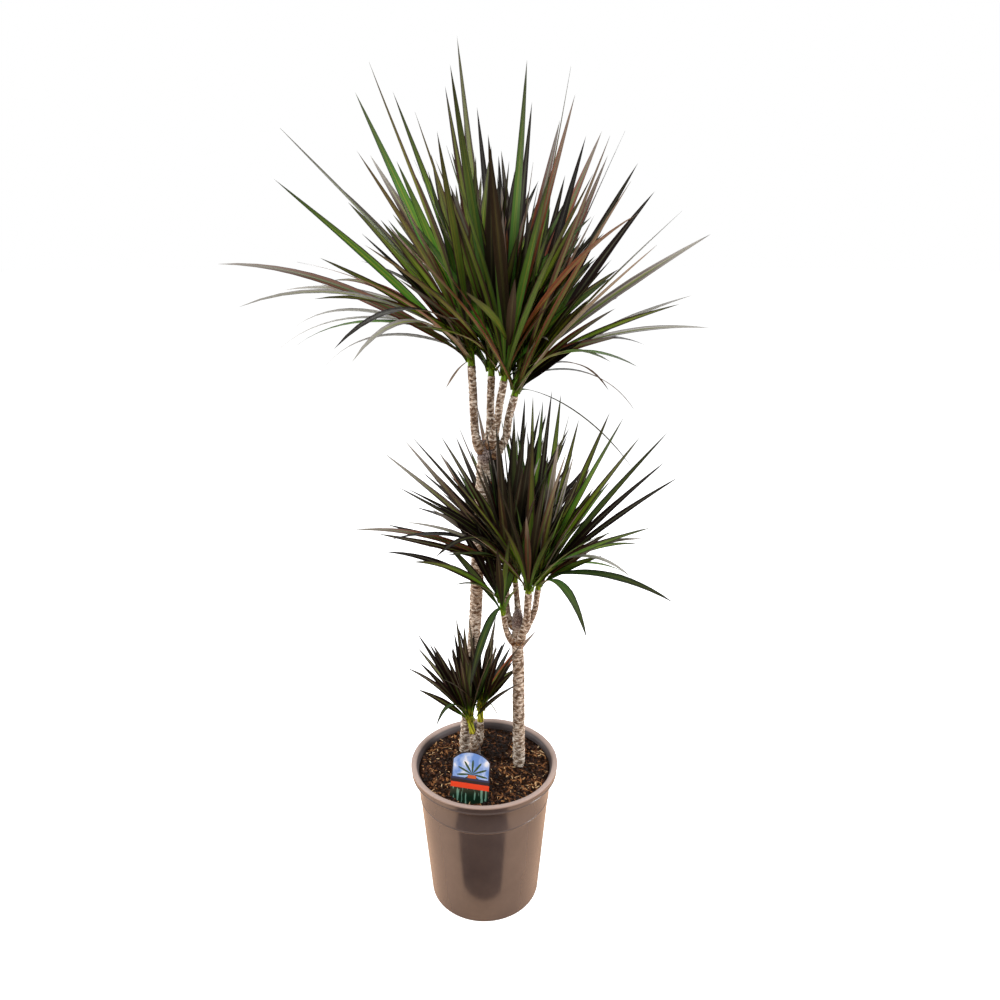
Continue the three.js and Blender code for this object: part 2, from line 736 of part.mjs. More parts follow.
const others = CANES.flatMap(caneBalls);
CANES.forEach((cane, i) => {
  addPiece("cane_" + cane.name, makeCane(cane), 0xb09c86, 0.85);
  const crown = growCrown(CROWNS[i], cane, others);
  const blades = crown.leaves.map(makeBlade);
  const fused = wasm.Manifold.union([...crown.cores, ...blades]).simplify(FINEST);
  addPiece("crown_" + cane.name, geometryOf(largestBody(fused)), 0x3c4424, 0.5);
  others.push(...crown.balls);
});

export default plant;
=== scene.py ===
"""The looks of a potted dracaena marginata: bare ringed canes with crowns of narrow two-coloured leaves,
standing in the bark mix of a grower's pot. Places are worked out in millimetres and made in metres."""

import math
from functools import partial

import bmesh
import bpy
import numpy as np
from mathutils import Matrix, Vector, noise


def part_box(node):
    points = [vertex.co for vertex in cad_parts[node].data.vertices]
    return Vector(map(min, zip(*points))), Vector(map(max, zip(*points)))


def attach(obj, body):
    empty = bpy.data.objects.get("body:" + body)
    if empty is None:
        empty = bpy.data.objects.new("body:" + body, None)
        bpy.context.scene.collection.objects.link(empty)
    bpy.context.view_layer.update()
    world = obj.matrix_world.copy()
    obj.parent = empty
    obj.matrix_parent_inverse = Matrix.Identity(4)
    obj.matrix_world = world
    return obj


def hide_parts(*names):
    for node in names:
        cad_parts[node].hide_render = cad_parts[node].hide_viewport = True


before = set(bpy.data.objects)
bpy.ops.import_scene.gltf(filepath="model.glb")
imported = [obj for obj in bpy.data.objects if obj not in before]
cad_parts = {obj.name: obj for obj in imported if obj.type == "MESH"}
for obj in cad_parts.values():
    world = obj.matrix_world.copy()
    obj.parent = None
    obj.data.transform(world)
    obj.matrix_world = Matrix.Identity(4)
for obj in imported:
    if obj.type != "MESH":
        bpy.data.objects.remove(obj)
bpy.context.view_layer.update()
MM = 0.001
MERGE = 1e-6  # points nearer than this, in metres, are one

# ---------------------------------------------------------------- sizes, the same as the solids have

GAP = 0.3
POT = {"height": 216, "rim": 105, "lip": 6, "skirt": 13, "top": 97, "foot": 79, "wall": 2}
TAPER = (POT["top"] - POT["foot"]) / POT["height"]
FOOT = {"boss": 16, "recess": 54, "lift": 3, "holes": 6, "hole_radius": 5, "hole_ring": 36}
BEAD = {"height": 165, "proud": 1, "width": 3}
SOIL = {"level": 205, "crown": 2}
BURIED = 85
LABEL = {"width": 52, "shoulder": 65, "arch": 13, "thick": 0.6, "neck": 18, "spike": 34}
LABEL_TURN = {"lean": 6, "yaw": -8, "roll": -3.5}
LABEL_FOOT = (-20, -83)

# ---------------------------------------------------------------- the photograph's viewpoint

EYE = np.array([22.5, -981.0, 925.0])
PITCH = math.radians(17.9)
FOCAL = 800.0
MIDDLE = 500.0
UP = np.array([0.0, 0.0, 1.0])


def unit(vector):
    return vector / np.linalg.norm(vector)


def sight_line(px, py):
    right = (px - MIDDLE) / FOCAL
    up = (MIDDLE - py) / FOCAL
    forward = math.cos(PITCH) + up * math.sin(PITCH)
    return np.array([right, forward, up * math.cos(PITCH) - math.sin(PITCH)])


def seen(px, py, depth):
    """The place seen at a pixel, at a depth behind the pot's axis."""
    sight = sight_line(px, py)
    return EYE + sight * ((depth - EYE[1]) / sight[1])


def reach(px, py, root, distance, side):
    """The place seen at a pixel, at a distance from a root: in front of it (side 1) or behind it (-1)."""
    sight = unit(sight_line(px, py))
    to_root = root - EYE
    nearest = float(to_root @ sight)
    spare = distance * distance - (float(to_root @ to_root) - nearest * nearest)
    return EYE + sight * (nearest - side * math.sqrt(max(spare, 0)))


# ---------------------------------------------------------------- canes and shoots

# Routes are points of the photograph: pixel x, pixel y and the depth behind the pot's axis.
CANES = [
    {
        "name": "tall",
        "radius": 8.2,
        "top_radius": 10.6,
        "route": [
            (465.1, 750, 38), (470, 690, 38), (475, 623, 37), (477.7, 564, 36), (482, 500, 35),
            (487, 440, 34),
        ],
        "branches": [
            (5.0, [(484, 453, 33), (478, 444, 29), (474.9, 430, 28), (473.6, 406, 29), (471.6, 366, 31)]),
            (4.6, [(488, 449, 36), (489.4, 436, 42), (490, 420, 45), (490.6, 400, 46), (491.3, 376, 46)]),
            (4.7, [(488, 449, 31), (493.2, 437, 24), (496.4, 426, 22), (499.6, 405, 22), (503.8, 381, 23)]),
            (4.8, [(489, 458, 34), (498.5, 450, 33), (505.4, 438, 33), (508.6, 419, 33), (514.5, 396, 33)]),
        ],
    },
    {
        "name": "middle",
        "radius": 8.3,
        "top_radius": 6.8,
        "route": [(518.8, 764.5, 3), (518.6, 715, 3), (518.4, 669, 3), (517.6, 645, 3), (517.6, 609, 3)],
        "branches": [
            (3.6, [(516, 645, 3), (509.5, 637, -1), (506, 629, -4), (504.4, 621, -5), (503.4, 615, -5)]),
            (3.9, [(516, 630, 6), (509, 619, 11), (506.6, 604, 14), (506.6, 590, 15), (507, 573, 15)]),
            (3.8, [(518, 624, 6), (518, 611, 17), (517, 600, 20), (516, 590, 21), (515.4, 582, 21)]),
            (4.8, [(518, 645, 3), (522.5, 633, -3), (526.4, 620, -6), (527.8, 605, -7), (528.4, 593, -7)]),
            (4.0, [(520, 636, 6), (529, 623, 7), (534.4, 611, 7), (536.6, 599, 6), (538, 589, 5)]),
        ],
    },
    {
        "name": "short",
        "radius": 7.2,
        "top_radius": 7.2,
        "route": [(475.5, 757, 20), (475.6, 748, 20), (475.7, 736, 20)],
        "branches": [
            (4.4, [(475, 750, 18), (474.2, 743, 13), (473.5, 738, 12), (472.6, 733, 12)]),
            (4.8, [(476, 747, 21), (479, 738, 23), (480.2, 730, 24), (480.4, 721, 24)]),
        ],
    },
]
KNOB = 1.45
KNOB_LENGTH = 14
ROOT = 6  # over which a branch swells out of the cane
DOME = 16  # the rounded top of a cane
CUT_LENGTH = 34  # of the weathered wood below a cane's cut

# ---------------------------------------------------------------- leaves

# Each crown: the width and length of its leaves, the length of a shoot's leafy end and the share of it that
# is bare, the ellipse of the photograph that it fills, how far the leaves spread in degrees, over what length
# the lime of a leaf's foot fades and how lime it is, and how much less the added leaves spread, as a share.
# Each shoot: the leaves in its spiral, its start angle, its own length and spread if they differ, the added
# leaves, which only this finer model has, and the leaves whose tips stand out in the photograph, as pixel x,
# pixel y, side and arch, and a colour and a share of the usual width where they differ.
CROWNS = [
    {
        "name": "tall", "width": 15, "length": 335, "core": 52, "bare": 0.1, "dense": (470, 290, 155, 150),
        "spread": 62, "sheath": 26, "lime": 0.5, "inner": 0.8,
        "heads": [
            {
                "fill": 7, "start": 40, "more": 22, "colours": ("olive", "green", "rust", "olive", "dark"),
                "tips": [
                    (218, 264, -1, 0.3, "dusk"), (297, 262, 1, 0.2, "dusk"), (280, 128, 1, 0.06, "olive"),
                    (274, 179, -1, 0.05, "green"), (369, 62, 1, 0.03, "olive", 1.35),
                    (355, 92, -1, 0.03, "green"), (357, 151, 1, 0.08, "olive"), (330, 281, -1, 0.3, "rust"),
                    (285, 290, 1, 0.25, "mauve"), (239, 307, 1, 0.4, "dusk"), (296, 326, -1, 0.45, "mauve"),
                    (278, 350, 1, 0.5, "mauve"), (334, 349, -1, 0.4, "dark"), (326, 365, 1, 0.45, "mauve"),
                    (370, 155, -1, 0.04, "dusk"), (437, 131, 1, 0.02, "green"), (352, 362, 1, 0.5, "mauve"),
                ],
            },
            {
                "fill": 10, "start": 115, "more": 24, "colours": ("olive", "rust", "olive", "green", "dark"),
                "tips": [
                    (393, 92, -1, 0.03, "green"), (415, 112, 1, 0.04, "olive"), (445, 86, -1, 0.02, "olive"),
                    (450, 64, -1, 0.02, "green"), (457, 36, 1, 0.02, "olive", 1.35), (361, 261, -1, 0.2),
                    (314, 299, -1, 0.35), (297, 345, -1, 0.45), (341, 188, -1, 0.1), (365, 245, -1, 0.1),
                    (464, 124, -1, 0.02, "dark"),
                ],
            },
            {
                "fill": 10, "start": 200, "more": 24, "colours": ("green", "rust", "dark", "rust", "olive"),
                "tips": [
                    (477, 107, -1, 0.02, "dark"), (488, 134, 1, 0.02, "dark"), (527, 60, -1, 0.02, "green"),
                    (532, 102, 1, 0.03, "dark"), (575, 95, 1, 0.04, "rust"), (602, 131, -1, 0.05, "rust"),
                    (593, 174, 1, 0.05, "olive"), (639, 213, 1, 0.2, "rust"), (560, 120, -1, 0.04),
                ],
            },
            {
                "fill": 8, "start": 300, "more": 22, "colours": ("rust", "dark", "olive", "green", "brown"),
                "tips": [
                    (571, 66, -1, 0.03, "olive"), (610, 136, 1, 0.04, "rust"), (586, 136, -1, 0.03, "dark"),
                    (625, 131, -1, 0.04, "dark"), (608, 155, 1, 0.05, "rust"), (638, 163, -1, 0.05, "dark"),
                    (631, 181, 1, 0.08), (655, 191, -1, 0.1, "dark"), (682, 211, 1, 0.08, "olive"),
                    (711, 234, -1, 0.08, "mauve"), (657, 245, 1, 0.08, "mauve"),
                    (693, 295, -1, 0.12, "mauve"), (680, 304, 1, 0.1, "olive"), (710, 328, 1, 0.2, "mauve"),
                    (645, 345, -1, 0.25, "dark"), (638, 367, 1, 0.3, "green"), (609, 391, 1, 0.4, "dark"),
                    (635, 411, -1, 0.45, "dark"), (611, 362, -1, 0.25, "green"),
                ],
            },
        ],
    },
    {
        "name": "middle", "width": 11.5, "length": 235, "core": 36, "bare": 0.1,
        "dense": (500, 530, 112, 112), "spread": 56, "sheath": 20, "lime": 0.6, "inner": 0.8,
        "heads": [
            {
                "fill": 4, "start": 20, "spread": 40, "length": 150, "more": 3,
                "colours": ("green", "deep", "dark"),
                "tips": [
                    (385, 552, 1, 0.3, "dark"), (412, 562, -1, 0.3, "olive"), (455, 585, -1, 0.25),
                    (470, 688, 1, 0.7, "deep", 1.6), (527, 584, 1, 0.2), (480, 560, -1, 0.05),
                    (497, 548, 1, 0.04),
                ],
            },
            {
                "fill": 6, "start": 80, "more": 24, "colours": ("dark", "deep", "dusk", "dark", "brown"),
                "tips": [
                    (413, 438, 1, 0.05, "dark"), (384, 453, -1, 0.06, "dusk"), (398, 487, 1, 0.06, "dark"),
                    (439, 452, -1, 0.05, "rust"), (429, 474, -1, 0.05), (458, 425, 1, 0.04, "dark"),
                    (470, 449, -1, 0.03, "green"), (352, 530, 1, 0.25, "dusk"), (389, 540, -1, 0.3, "dark"),
                    (415, 507, -1, 0.1), (435, 558, -1, 0.35), (477, 405, 1, 0.03, "rust"),
                    (405, 441, -1, 0.05), (456, 437, 1, 0.04), (464, 457, 1, 0.03), (449, 470, 1, 0.06),
                    (421, 471, 1, 0.08), (405, 522, 1, 0.15),
                ],
            },
            {
                "fill": 8, "start": 150, "more": 18, "colours": ("dark", "deep", "green", "dark", "brown"),
                "tips": [
                    (514, 412, 1, 0.02), (517, 434, -1, 0.02), (525, 397, -1, 0.03, "dark"),
                    (567, 436, -1, 0.08), (525, 415, -1, 0.03),
                ],
            },
            {
                "fill": 8, "start": 230, "more": 22, "colours": ("green", "olive", "dark", "dusk", "olive"),
                "tips": [
                    (533, 395, 1, 0.02), (543, 400, -1, 0.03, "green"), (552, 390, -1, 0.02, "dark"),
                    (570, 412, 1, 0.03), (619, 531, 1, 0.2, "green"), (653, 527, 1, 0.1, "green"),
                    (639, 544, 1, 0.25, "green"), (627, 574, -1, 0.4, "green"),
                ],
            },
            {
                "fill": 6, "start": 310, "more": 18, "colours": ("olive", "dusk", "mauve", "green", "brown"),
                "tips": [
                    (561, 394, -1, 0.03), (579, 419, -1, 0.03), (610, 412, -1, 0.03, "olive"),
                    (624, 417, 1, 0.04, "green"), (640, 437, -1, 0.05, "olive"), (668, 432, -1, 0.06, "deep"),
                    (666, 461, 1, 0.08, "dark"), (679, 477, -1, 0.1, "dark"), (646, 539, -1, 0.25),
                    (633, 579, -1, 0.4), (674, 603, 1, 0.3, "deep", 1.6), (587, 639, 1, 0.6, "deep", 1.6),
                ],
            },
        ],
    },
    {
        "name": "short", "width": 11, "length": 165, "core": 44, "bare": 0.4, "dense": (468, 690, 55, 62),
        "spread": 50, "sheath": 22, "lime": 1.0, "inner": 0.4,
        "heads": [
            {
                "fill": 6, "start": 0, "more": 6, "colours": ("dark", "brown", "deep"),
                "tips": [
                    (407, 668, 1, 0.2), (417, 633, 1, 0.05), (417, 647, -1, 0.08), (429, 643, 1, 0.03),
                    (445, 633, -1, 0.03), (454, 632, -1, 0.03), (456, 617, 1, 0.02), (443, 644, 1, 0.04),
                    (436, 727, 1, 0.8, "deep"), (464, 625, 1, 0.03),
                ],
            },
            {
                "fill": 6, "start": 120, "more": 6, "colours": ("dark", "brown", "dark", "brown"),
                "tips": [
                    (468, 613, -1, 0.02), (496, 616, -1, 0.02), (502, 623, 1, 0.03), (506, 640, -1, 0.04),
                    (526, 637, 1, 0.06), (537, 630, 1, 0.08, "rust"), (526, 669, 1, 0.25, "olive"),
                    (511, 646, 1, 0.05),
                ],
            },
        ],
    },
]
# A leaf's colour: its place on the ramps of the margin's tone and of the green midstrip's width.
LEAF_COLOURS = {
    "green": (0.3, 0.8),
    "olive": (0.55, 0.55),
    # 'dark' is partly painted shade: the plant's own dark red margin, deepened to near black on leaves that
    # lie in shadow.
    "dark": (0.1, 0.2),
    "deep": (0.12, 0.7),
    "brown": (0.5, 0.2),
    "rust": (0.76, 0.3),
    # 'dusk' and 'mauve' are painted sheen: grey margins and tips in place of the light these leaves reflect.
    "dusk": (0.92, 0.25),
    "mauve": (1.0, 0.22),
    "pale": (1.0, 0.45),
}
# Leaves that only this finer model has: crown, shoot, tip, length, share of the usual width, and colour.
STRAYS = [
    ("tall", 3, (636, 474, -1, 0.5), 205, 0.34, "dark"),
    ("tall", 0, (446, 388, -1, 0.2), 75, 0.75, "mauve"),
    ("tall", 2, (447, 318, 1, 0.5), 120, 0.7, "pale"),
    ("tall", 3, (549, 341, 1, 0.9), 95, 0.6, "pale"),
    ("short", 1, (499, 718, -1, 0.8), 42, 0.4, "mauve"),
]
# Fans of leaves towards the viewer: crown, shoot, how many, their bearings in the picture in degrees up from
# the right, and how far their tips are from the shoot in pixels.
FANS = [
    ("middle", 1, 22, (98, 168), (60, 150)),
    ("middle", 2, 8, (80, 140), (70, 150)),
    ("middle", 4, 8, (20, 80), (70, 140)),
    ("middle", 1, 6, (66, 86), (140, 185)),
    ("middle", 4, 6, (94, 112), (140, 190)),
    ("tall", 1, 6, (60, 150), (90, 200)),
    ("tall", 2, 8, (40, 140), (90, 210)),
    ("short", 0, 5, (72, 112), (70, 100)),
    ("short", 1, 5, (70, 108), (70, 100)),
]
FAN_ARCH = 0.08
TWIST = 50  # range of a leaf's own twist over its length, in degrees
STRAY_TWIST = 10
FACING = {"flat": 32, "steep": 42}  # how far leaves turn their faces to the light in front, in degrees
LEVEL_WIDTH = 0.6  # width of a leaf that lies level, as a share of an upright one's
WIDEST = 0.38  # where along it a leaf is widest, as a share of its length
THREAD = 0.24  # width of a leaf's drawn-out foot and tip, as a share of the widest
RISE = 0.6  # how much a shoot's leaves turn upwards from the shoot's own line
# How a leaf leaves its shoot and comes down to its tip, with what each unit of arch adds.
LEAVE = {"upright": 0.16, "more_upright": 0.32, "pull": 0.32, "less_pull": 0.1}
ARRIVE = {"sag": 1.2, "pull": 0.36}
GOLDEN_ANGLE = 137.508
# A spiral's leaves, the youngest highest: its place as a share of the shoot, their lengths with what age and
# chance add, the chance in their turn and their lean, and the least that they lean, in degrees.
SPIRAL = {"highest": 0.9, "short": 0.62, "by_age": 0.3, "by_chance": 0.1, "turn": 24, "lean": 12, "least": 5}
FAN_LENGTH = (0.6, 0.35)  # of a fan's leaves, as a share of the shoot's, and what chance adds
# The added leaves of a spiral: how far round they start, the share of the dense ellipse that they fill and
# what chance adds, and their lengths, of which every fourth is the long one.
MORE = {"turn": 67, "fill": 0.62, "by_chance": 0.38, "long": 0.84, "short": 0.66}
OUTERMOST = 0.85  # where on the shoot a leaf that stands out grows at the most, as a share
CLEARANCE = 2
CROWDING = 0.8
TRIES = 36
SHORTER = 0.018  # each second try for a leaf that stands out is this much shorter
SIDESTEP = 5  # degrees that each try for another leaf goes round the shoot
SHORTEST = 0.5
SHORTEN = 0.06
INSET = 4  # of the added leaves' tips, inside the box of the crown's solid
PROBES = 18
FIRST_PROBE = 3  # nearer to the shoot, leaves may touch
BALL_SPACING = 6  # along the canes, which leaves keep clear of
SEED = 20450

seed = SEED


def draw():
    """A seeded draw between 0 and 1, the same on every run and in the solids."""
    global seed
    seed = (seed * 1664525 + 1013904223) % 4294967296
    return seed / 4294967296


def leaf_width(t, taper=0.5):
    t = np.asarray(t, float)
    blade = np.minimum(t / WIDEST, 1) ** 0.7 * np.minimum((1 - t) / taper, 1) ** 0.75
    return np.maximum(blade, THREAD * (1 - t))


def bezier(line, t):
    t = np.asarray(t, float)[:, None]
    a, b, c, d = line
    return (1 - t) ** 3 * a + 3 * (1 - t) ** 2 * t * b + 3 * (1 - t) * t * t * c + t**3 * d


def bezier_heading(line, t):
    t = np.asarray(t, float)[:, None]
    a, b, c, d = line
    heading = 3 * (1 - t) ** 2 * (b - a) + 6 * (1 - t) * t * (c - b) + 3 * t * t * (d - c)
    return heading / np.linalg.norm(heading, axis=1)[:, None]


def leaf_line(root, tip, grow, arch):
    """The line that a leaf follows: out of the shoot, then over to its tip. The arch is how much it sags."""
    chord = tip - root
    span = np.linalg.norm(chord)
    chord = chord / span
    upright = LEAVE["upright"] + LEAVE["more_upright"] * arch
    pull = LEAVE["pull"] - LEAVE["less_pull"] * arch
    leave = unit(chord * (1 - upright) + grow * upright) * (span * pull)
    arrive = unit(chord + UP * (-ARRIVE["sag"] * arch)) * (span * ARRIVE["pull"])
    return root, root + leave, tip - arrive, tip


def touches(line, width, clearance, first, balls):
    """How many of the given balls, rows of a centre and a radius, a leaf comes too near."""
    if not len(balls):
        return 0
    t = np.arange(first, PROBES + 1) / PROBES
    places = bezier(line, t)
    half = leaf_width(t) * width / 2 + clearance
    centres = balls[:, :3]
    squares = (places**2).sum(axis=1)[:, None] + (centres**2).sum(axis=1)[None]
    apart = squares - 2 * places @ centres.T
    return int((apart < (half[:, None] + balls[None, :, 3]) ** 2).sum())


def seen_inside(place, ellipse):
    """Whether a place is seen inside an ellipse of the photograph, given by its middle and its half axes."""
    from_eye = place - EYE
    ahead = from_eye[1] * math.cos(PITCH) - from_eye[2] * math.sin(PITCH)
    above = from_eye[1] * math.sin(PITCH) + from_eye[2] * math.cos(PITCH)
    px = MIDDLE + FOCAL * from_eye[0] / ahead
    py = MIDDLE - FOCAL * above / ahead
    x, y, wide, high = ellipse
    return math.hypot((px - x) / wide, (py - y) / high) < 1


def best_line(lines, width, others, own):
    """Of the lines that keep clear of the others, the first that touches the fewest of its own crown."""
    best, fewest = None, math.inf
    for line in lines:
        if touches(line, width, CLEARANCE, FIRST_PROBE, others) > 0:
            continue
        count = touches(line, width * CROWDING, 0, 1, own)
        if count < fewest:
            best, fewest = line, count
        if count == 0:
            break
    return best


def across(direction):
    """Two axes across a direction, the first as near to the picture's right as can be."""
    first = unit(np.array([1.0, 0.0, 0.0]) - direction * direction[0])
    return first, np.cross(direction, first)


def make_head(branch, crown, spec):
    """The end of a branch, from which leaves grow."""
    before, end = (seen(*point) for point in branch[1][-2:])
    axis = unit(end - before)
    return {
        "place": end + axis * GAP,
        "axis": axis,
        "grow": unit(axis + UP * RISE),
        "core": crown["core"],
        "bare_share": crown["bare"],
        "dense": crown["dense"],
        "start": spec["start"],
        "bare": branch[0],
        "colours": spec["colours"],
        "length": spec.get("length", crown["length"]),
        "spread": spec.get("spread", crown["spread"]),
    }


def picture_lines(head, length, tip_seen):
    """Lines for a leaf whose tip is seen in the photograph, each a little shorter, in front and behind."""
    px, py, side, arch = tip_seen[:4]
    share = head["bare_share"] + (OUTERMOST - head["bare_share"]) * draw()
    root = head["place"] + head["axis"] * (head["core"] * share)
    lines = []
    for k in range(TRIES):
        distance = length * (1 - SHORTER * (k // 2))
        tip = reach(px, py, root, distance, -side if k % 2 else side)
        lines.append(leaf_line(root, tip, head["grow"], arch))
    return lines


def spiral_lines(head, length, spread, index, count):
    """Lines for a leaf of a shoot's spiral, each a little further round. The oldest leaves lean out most."""
    age = (index + 0.5) / count
    share = SPIRAL["highest"] - (SPIRAL["highest"] - head["bare_share"]) * age
    root = head["place"] + head["axis"] * (head["core"] * share)
    prime = math.sin(math.pi * min(age + 0.12, 0.75))
    size = length * (SPIRAL["short"] + SPIRAL["by_age"] * prime + SPIRAL["by_chance"] * draw())
    turn = head["start"] + index * GOLDEN_ANGLE + (draw() - 0.5) * SPIRAL["turn"]
    jitter = (draw() - 0.5) * SPIRAL["lean"]
    first, second = across(head["grow"])
    lines = []
    for k in range(TRIES):
        bearing = math.radians(turn + SIDESTEP * k)
        sideways = abs(math.cos(bearing))
        lean = math.radians(SPIRAL["least"] + spread * age**0.85 * (0.66 + 0.34 * sideways) + jitter * age)
        out = first * (math.sin(lean) * math.cos(bearing)) + second * (math.sin(lean) * math.sin(bearing))
        heading = head["grow"] * math.cos(lean) + out
        cut = 1.0
        tip = root + heading * size
        while cut > SHORTEST and not seen_inside(tip, head["dense"]):
            tip = root + heading * (size * cut)
            cut -= SHORTEN
        lines.append(leaf_line(root, tip, head["grow"], 0.03 + 0.12 * age))
    return lines


def leaf_balls(line, width):
    t = np.arange(FIRST_PROBE, 2 * PROBES + 1) / (2 * PROBES)
    return np.hstack([bezier(line, t), (leaf_width(t) * width / 2)[:, None]])


def cane_balls(cane):
    rows = []
    routes = [(cane["top_radius"], cane["route"]), *cane["branches"]]
    for radius, route in routes:
        points = [seen(*point) for point in route]
        for start, end in zip(points, points[1:]):
            count = math.ceil(np.linalg.norm(end - start) / BALL_SPACING)
            rows += [[*(start + (end - start) * (k / count)), radius + 1] for k in range(count + 1)]
    return np.array(rows)


def try_leaf(growth, head, lines, twist, others, **more):
    """Grows a leaf along the best of the lines, unless each of them runs into a cane or another crown."""
    line = best_line(lines, growth["width"], others, growth["own"])
    if line:
        growth["leaves"].append({"line": line, "twist": twist, "head": head, **more})
        growth["own"] = np.vstack([growth["own"], leaf_balls(line, growth["width"])])


def draw_twist():
    return TWIST * (draw() - 0.5)


def grow_crowns():
    """Every leaf as a line and a twist: first those that the solids have, then the rest."""
    cane_rows = np.vstack([cane_balls(cane) for cane in CANES])
    others = cane_rows
    grown = {}
    for cane, crown in zip(CANES, CROWNS):
        heads = [make_head(branch, crown, spec) for branch, spec in zip(cane["branches"], crown["heads"])]
        growth = {"heads": heads, "leaves": [], "own": np.zeros((0, 4)), "width": crown["width"]}
        growth["box"] = np.array(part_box("crown_" + crown["name"])) / MM
        for head, spec in zip(heads, crown["heads"]):
            for tip in spec["tips"]:
                lines = picture_lines(head, head["length"], tip)
                try_leaf(growth, head, lines, draw_twist(), others, **dict(zip(("colour", "share"), tip[4:])))
        for head, spec in zip(heads, crown["heads"]):
            for n in range(spec["fill"]):
                lines = spiral_lines(head, head["length"], head["spread"], n, spec["fill"])
                try_leaf(growth, head, lines, draw_twist(), others)
        grown[crown["name"]] = growth
        others = np.vstack([others, growth["own"]])

    def inside(line, growth):
        low, high = growth["box"]
        return (line[3] > low + INSET).all() and (line[3] < high - INSET).all()

    def around(name):
        return np.vstack([cane_rows] + [growth["own"] for other, growth in grown.items() if other != name])

    for name, n, tip, length, share, colour in STRAYS:
        head = grown[name]["heads"][n]
        line = picture_lines(head, length, tip)[0]
        stray = {"line": line, "twist": STRAY_TWIST, "head": head, "share": share, "colour": colour}
        grown[name]["leaves"].append(stray)
    ends = {cane["name"]: [route[-1][:2] for _, route in cane["branches"]] for cane in CANES}
    for name, n, count, bearings, reaches in FANS:
        growth = grown[name]
        head, (px, py), others = growth["heads"][n], ends[name][n], around(name)
        for _ in range(count):
            bearing = math.radians(bearings[0] + (bearings[1] - bearings[0]) * draw())
            far = reaches[0] + (reaches[1] - reaches[0]) * draw()
            tip = (px + far * math.cos(bearing), py - far * math.sin(bearing), 1, FAN_ARCH)
            length = head["length"] * (FAN_LENGTH[0] + FAN_LENGTH[1] * draw())
            twist = draw_twist()
            lines = [line for line in picture_lines(head, length, tip) if inside(line, growth)]
            try_leaf(growth, head, lines, twist, others)
    for crown in CROWNS:
        growth, others = grown[crown["name"]], around(crown["name"])
        x, y, wide, high = crown["dense"]
        for head, spec in zip(growth["heads"], crown["heads"]):
            for n in range(spec["more"]):
                share = MORE["fill"] + MORE["by_chance"] * draw()
                dense = (x, y, wide * share, high * share)
                shifted = dict(head, start=head["start"] + MORE["turn"], dense=dense)
                length = head["length"] * MORE["short" if n % 4 else "long"]
                lines = spiral_lines(shifted, length, head["spread"] * crown["inner"], n, spec["more"])
                lines = [line for line in lines if inside(line, growth)]
                try_leaf(growth, head, lines, draw_twist(), others)
    return grown


# ---------------------------------------------------------------- materials

# What the second word of a node's kind sets.
VARIANTS = {
    "Math": "operation",
    "VectorMath": "operation",
    "Mix": "data_type",
    "MapRange": "interpolation_type",
}


def srgb(code):
    """A hex colour as linear red, green, blue and alpha."""
    parts = [int(code[i : i + 2], 16) / 255 for i in (1, 3, 5)]
    return [p / 12.92 if p <= 0.04045 else ((p + 0.055) / 1.055) ** 2.4 for p in parts] + [1.0]


def node(tree, kind, *values, stops=None, out=None, **settings):
    """Adds a node and gives its output: the one named, or the first in use. Its inputs take the values in
    turn. A setting with a capital goes to the input of that name, and any other to the node."""
    kind, *variant = kind.split()
    made = tree.nodes.new("ShaderNode" + kind)
    for key, value in [*zip([VARIANTS.get(kind)], variant), *settings.items()]:
        if key[0].islower():
            setattr(made, key, value)
    inputs = list(zip([socket for socket in made.inputs if socket.enabled], values))
    inputs += [(made.inputs[key.replace("_", " ")], settings[key]) for key in settings if key[0].isupper()]
    for socket, value in inputs:
        if isinstance(value, bpy.types.NodeSocket):
            tree.links.new(value, socket)
        else:
            socket.default_value = srgb(value) if isinstance(value, str) else value
    if stops:
        ramp = made.color_ramp
        while len(ramp.elements) < len(stops):
            ramp.elements.new(0.5)
        for element, (place, color) in zip(ramp.elements, stops.items()):
            element.position = place
            element.color = srgb(color)
    return made.outputs[out] if out else next((socket for socket in made.outputs if socket.enabled), None)


def emptied(owner):
    """Clears a material's or world's nodes, and gives the function that adds to them."""
    owner.use_nodes = True
    owner.node_tree.nodes.clear()
    return partial(node, owner.node_tree)


def make_material(look):
    """Makes a material, named for the function that adds its nodes and gives the inputs of its shader."""
    material = bpy.data.materials.new(look.__name__)
    add = emptied(material)
    add("OutputMaterial", add("BsdfPrincipled", **look(add)))
    return material


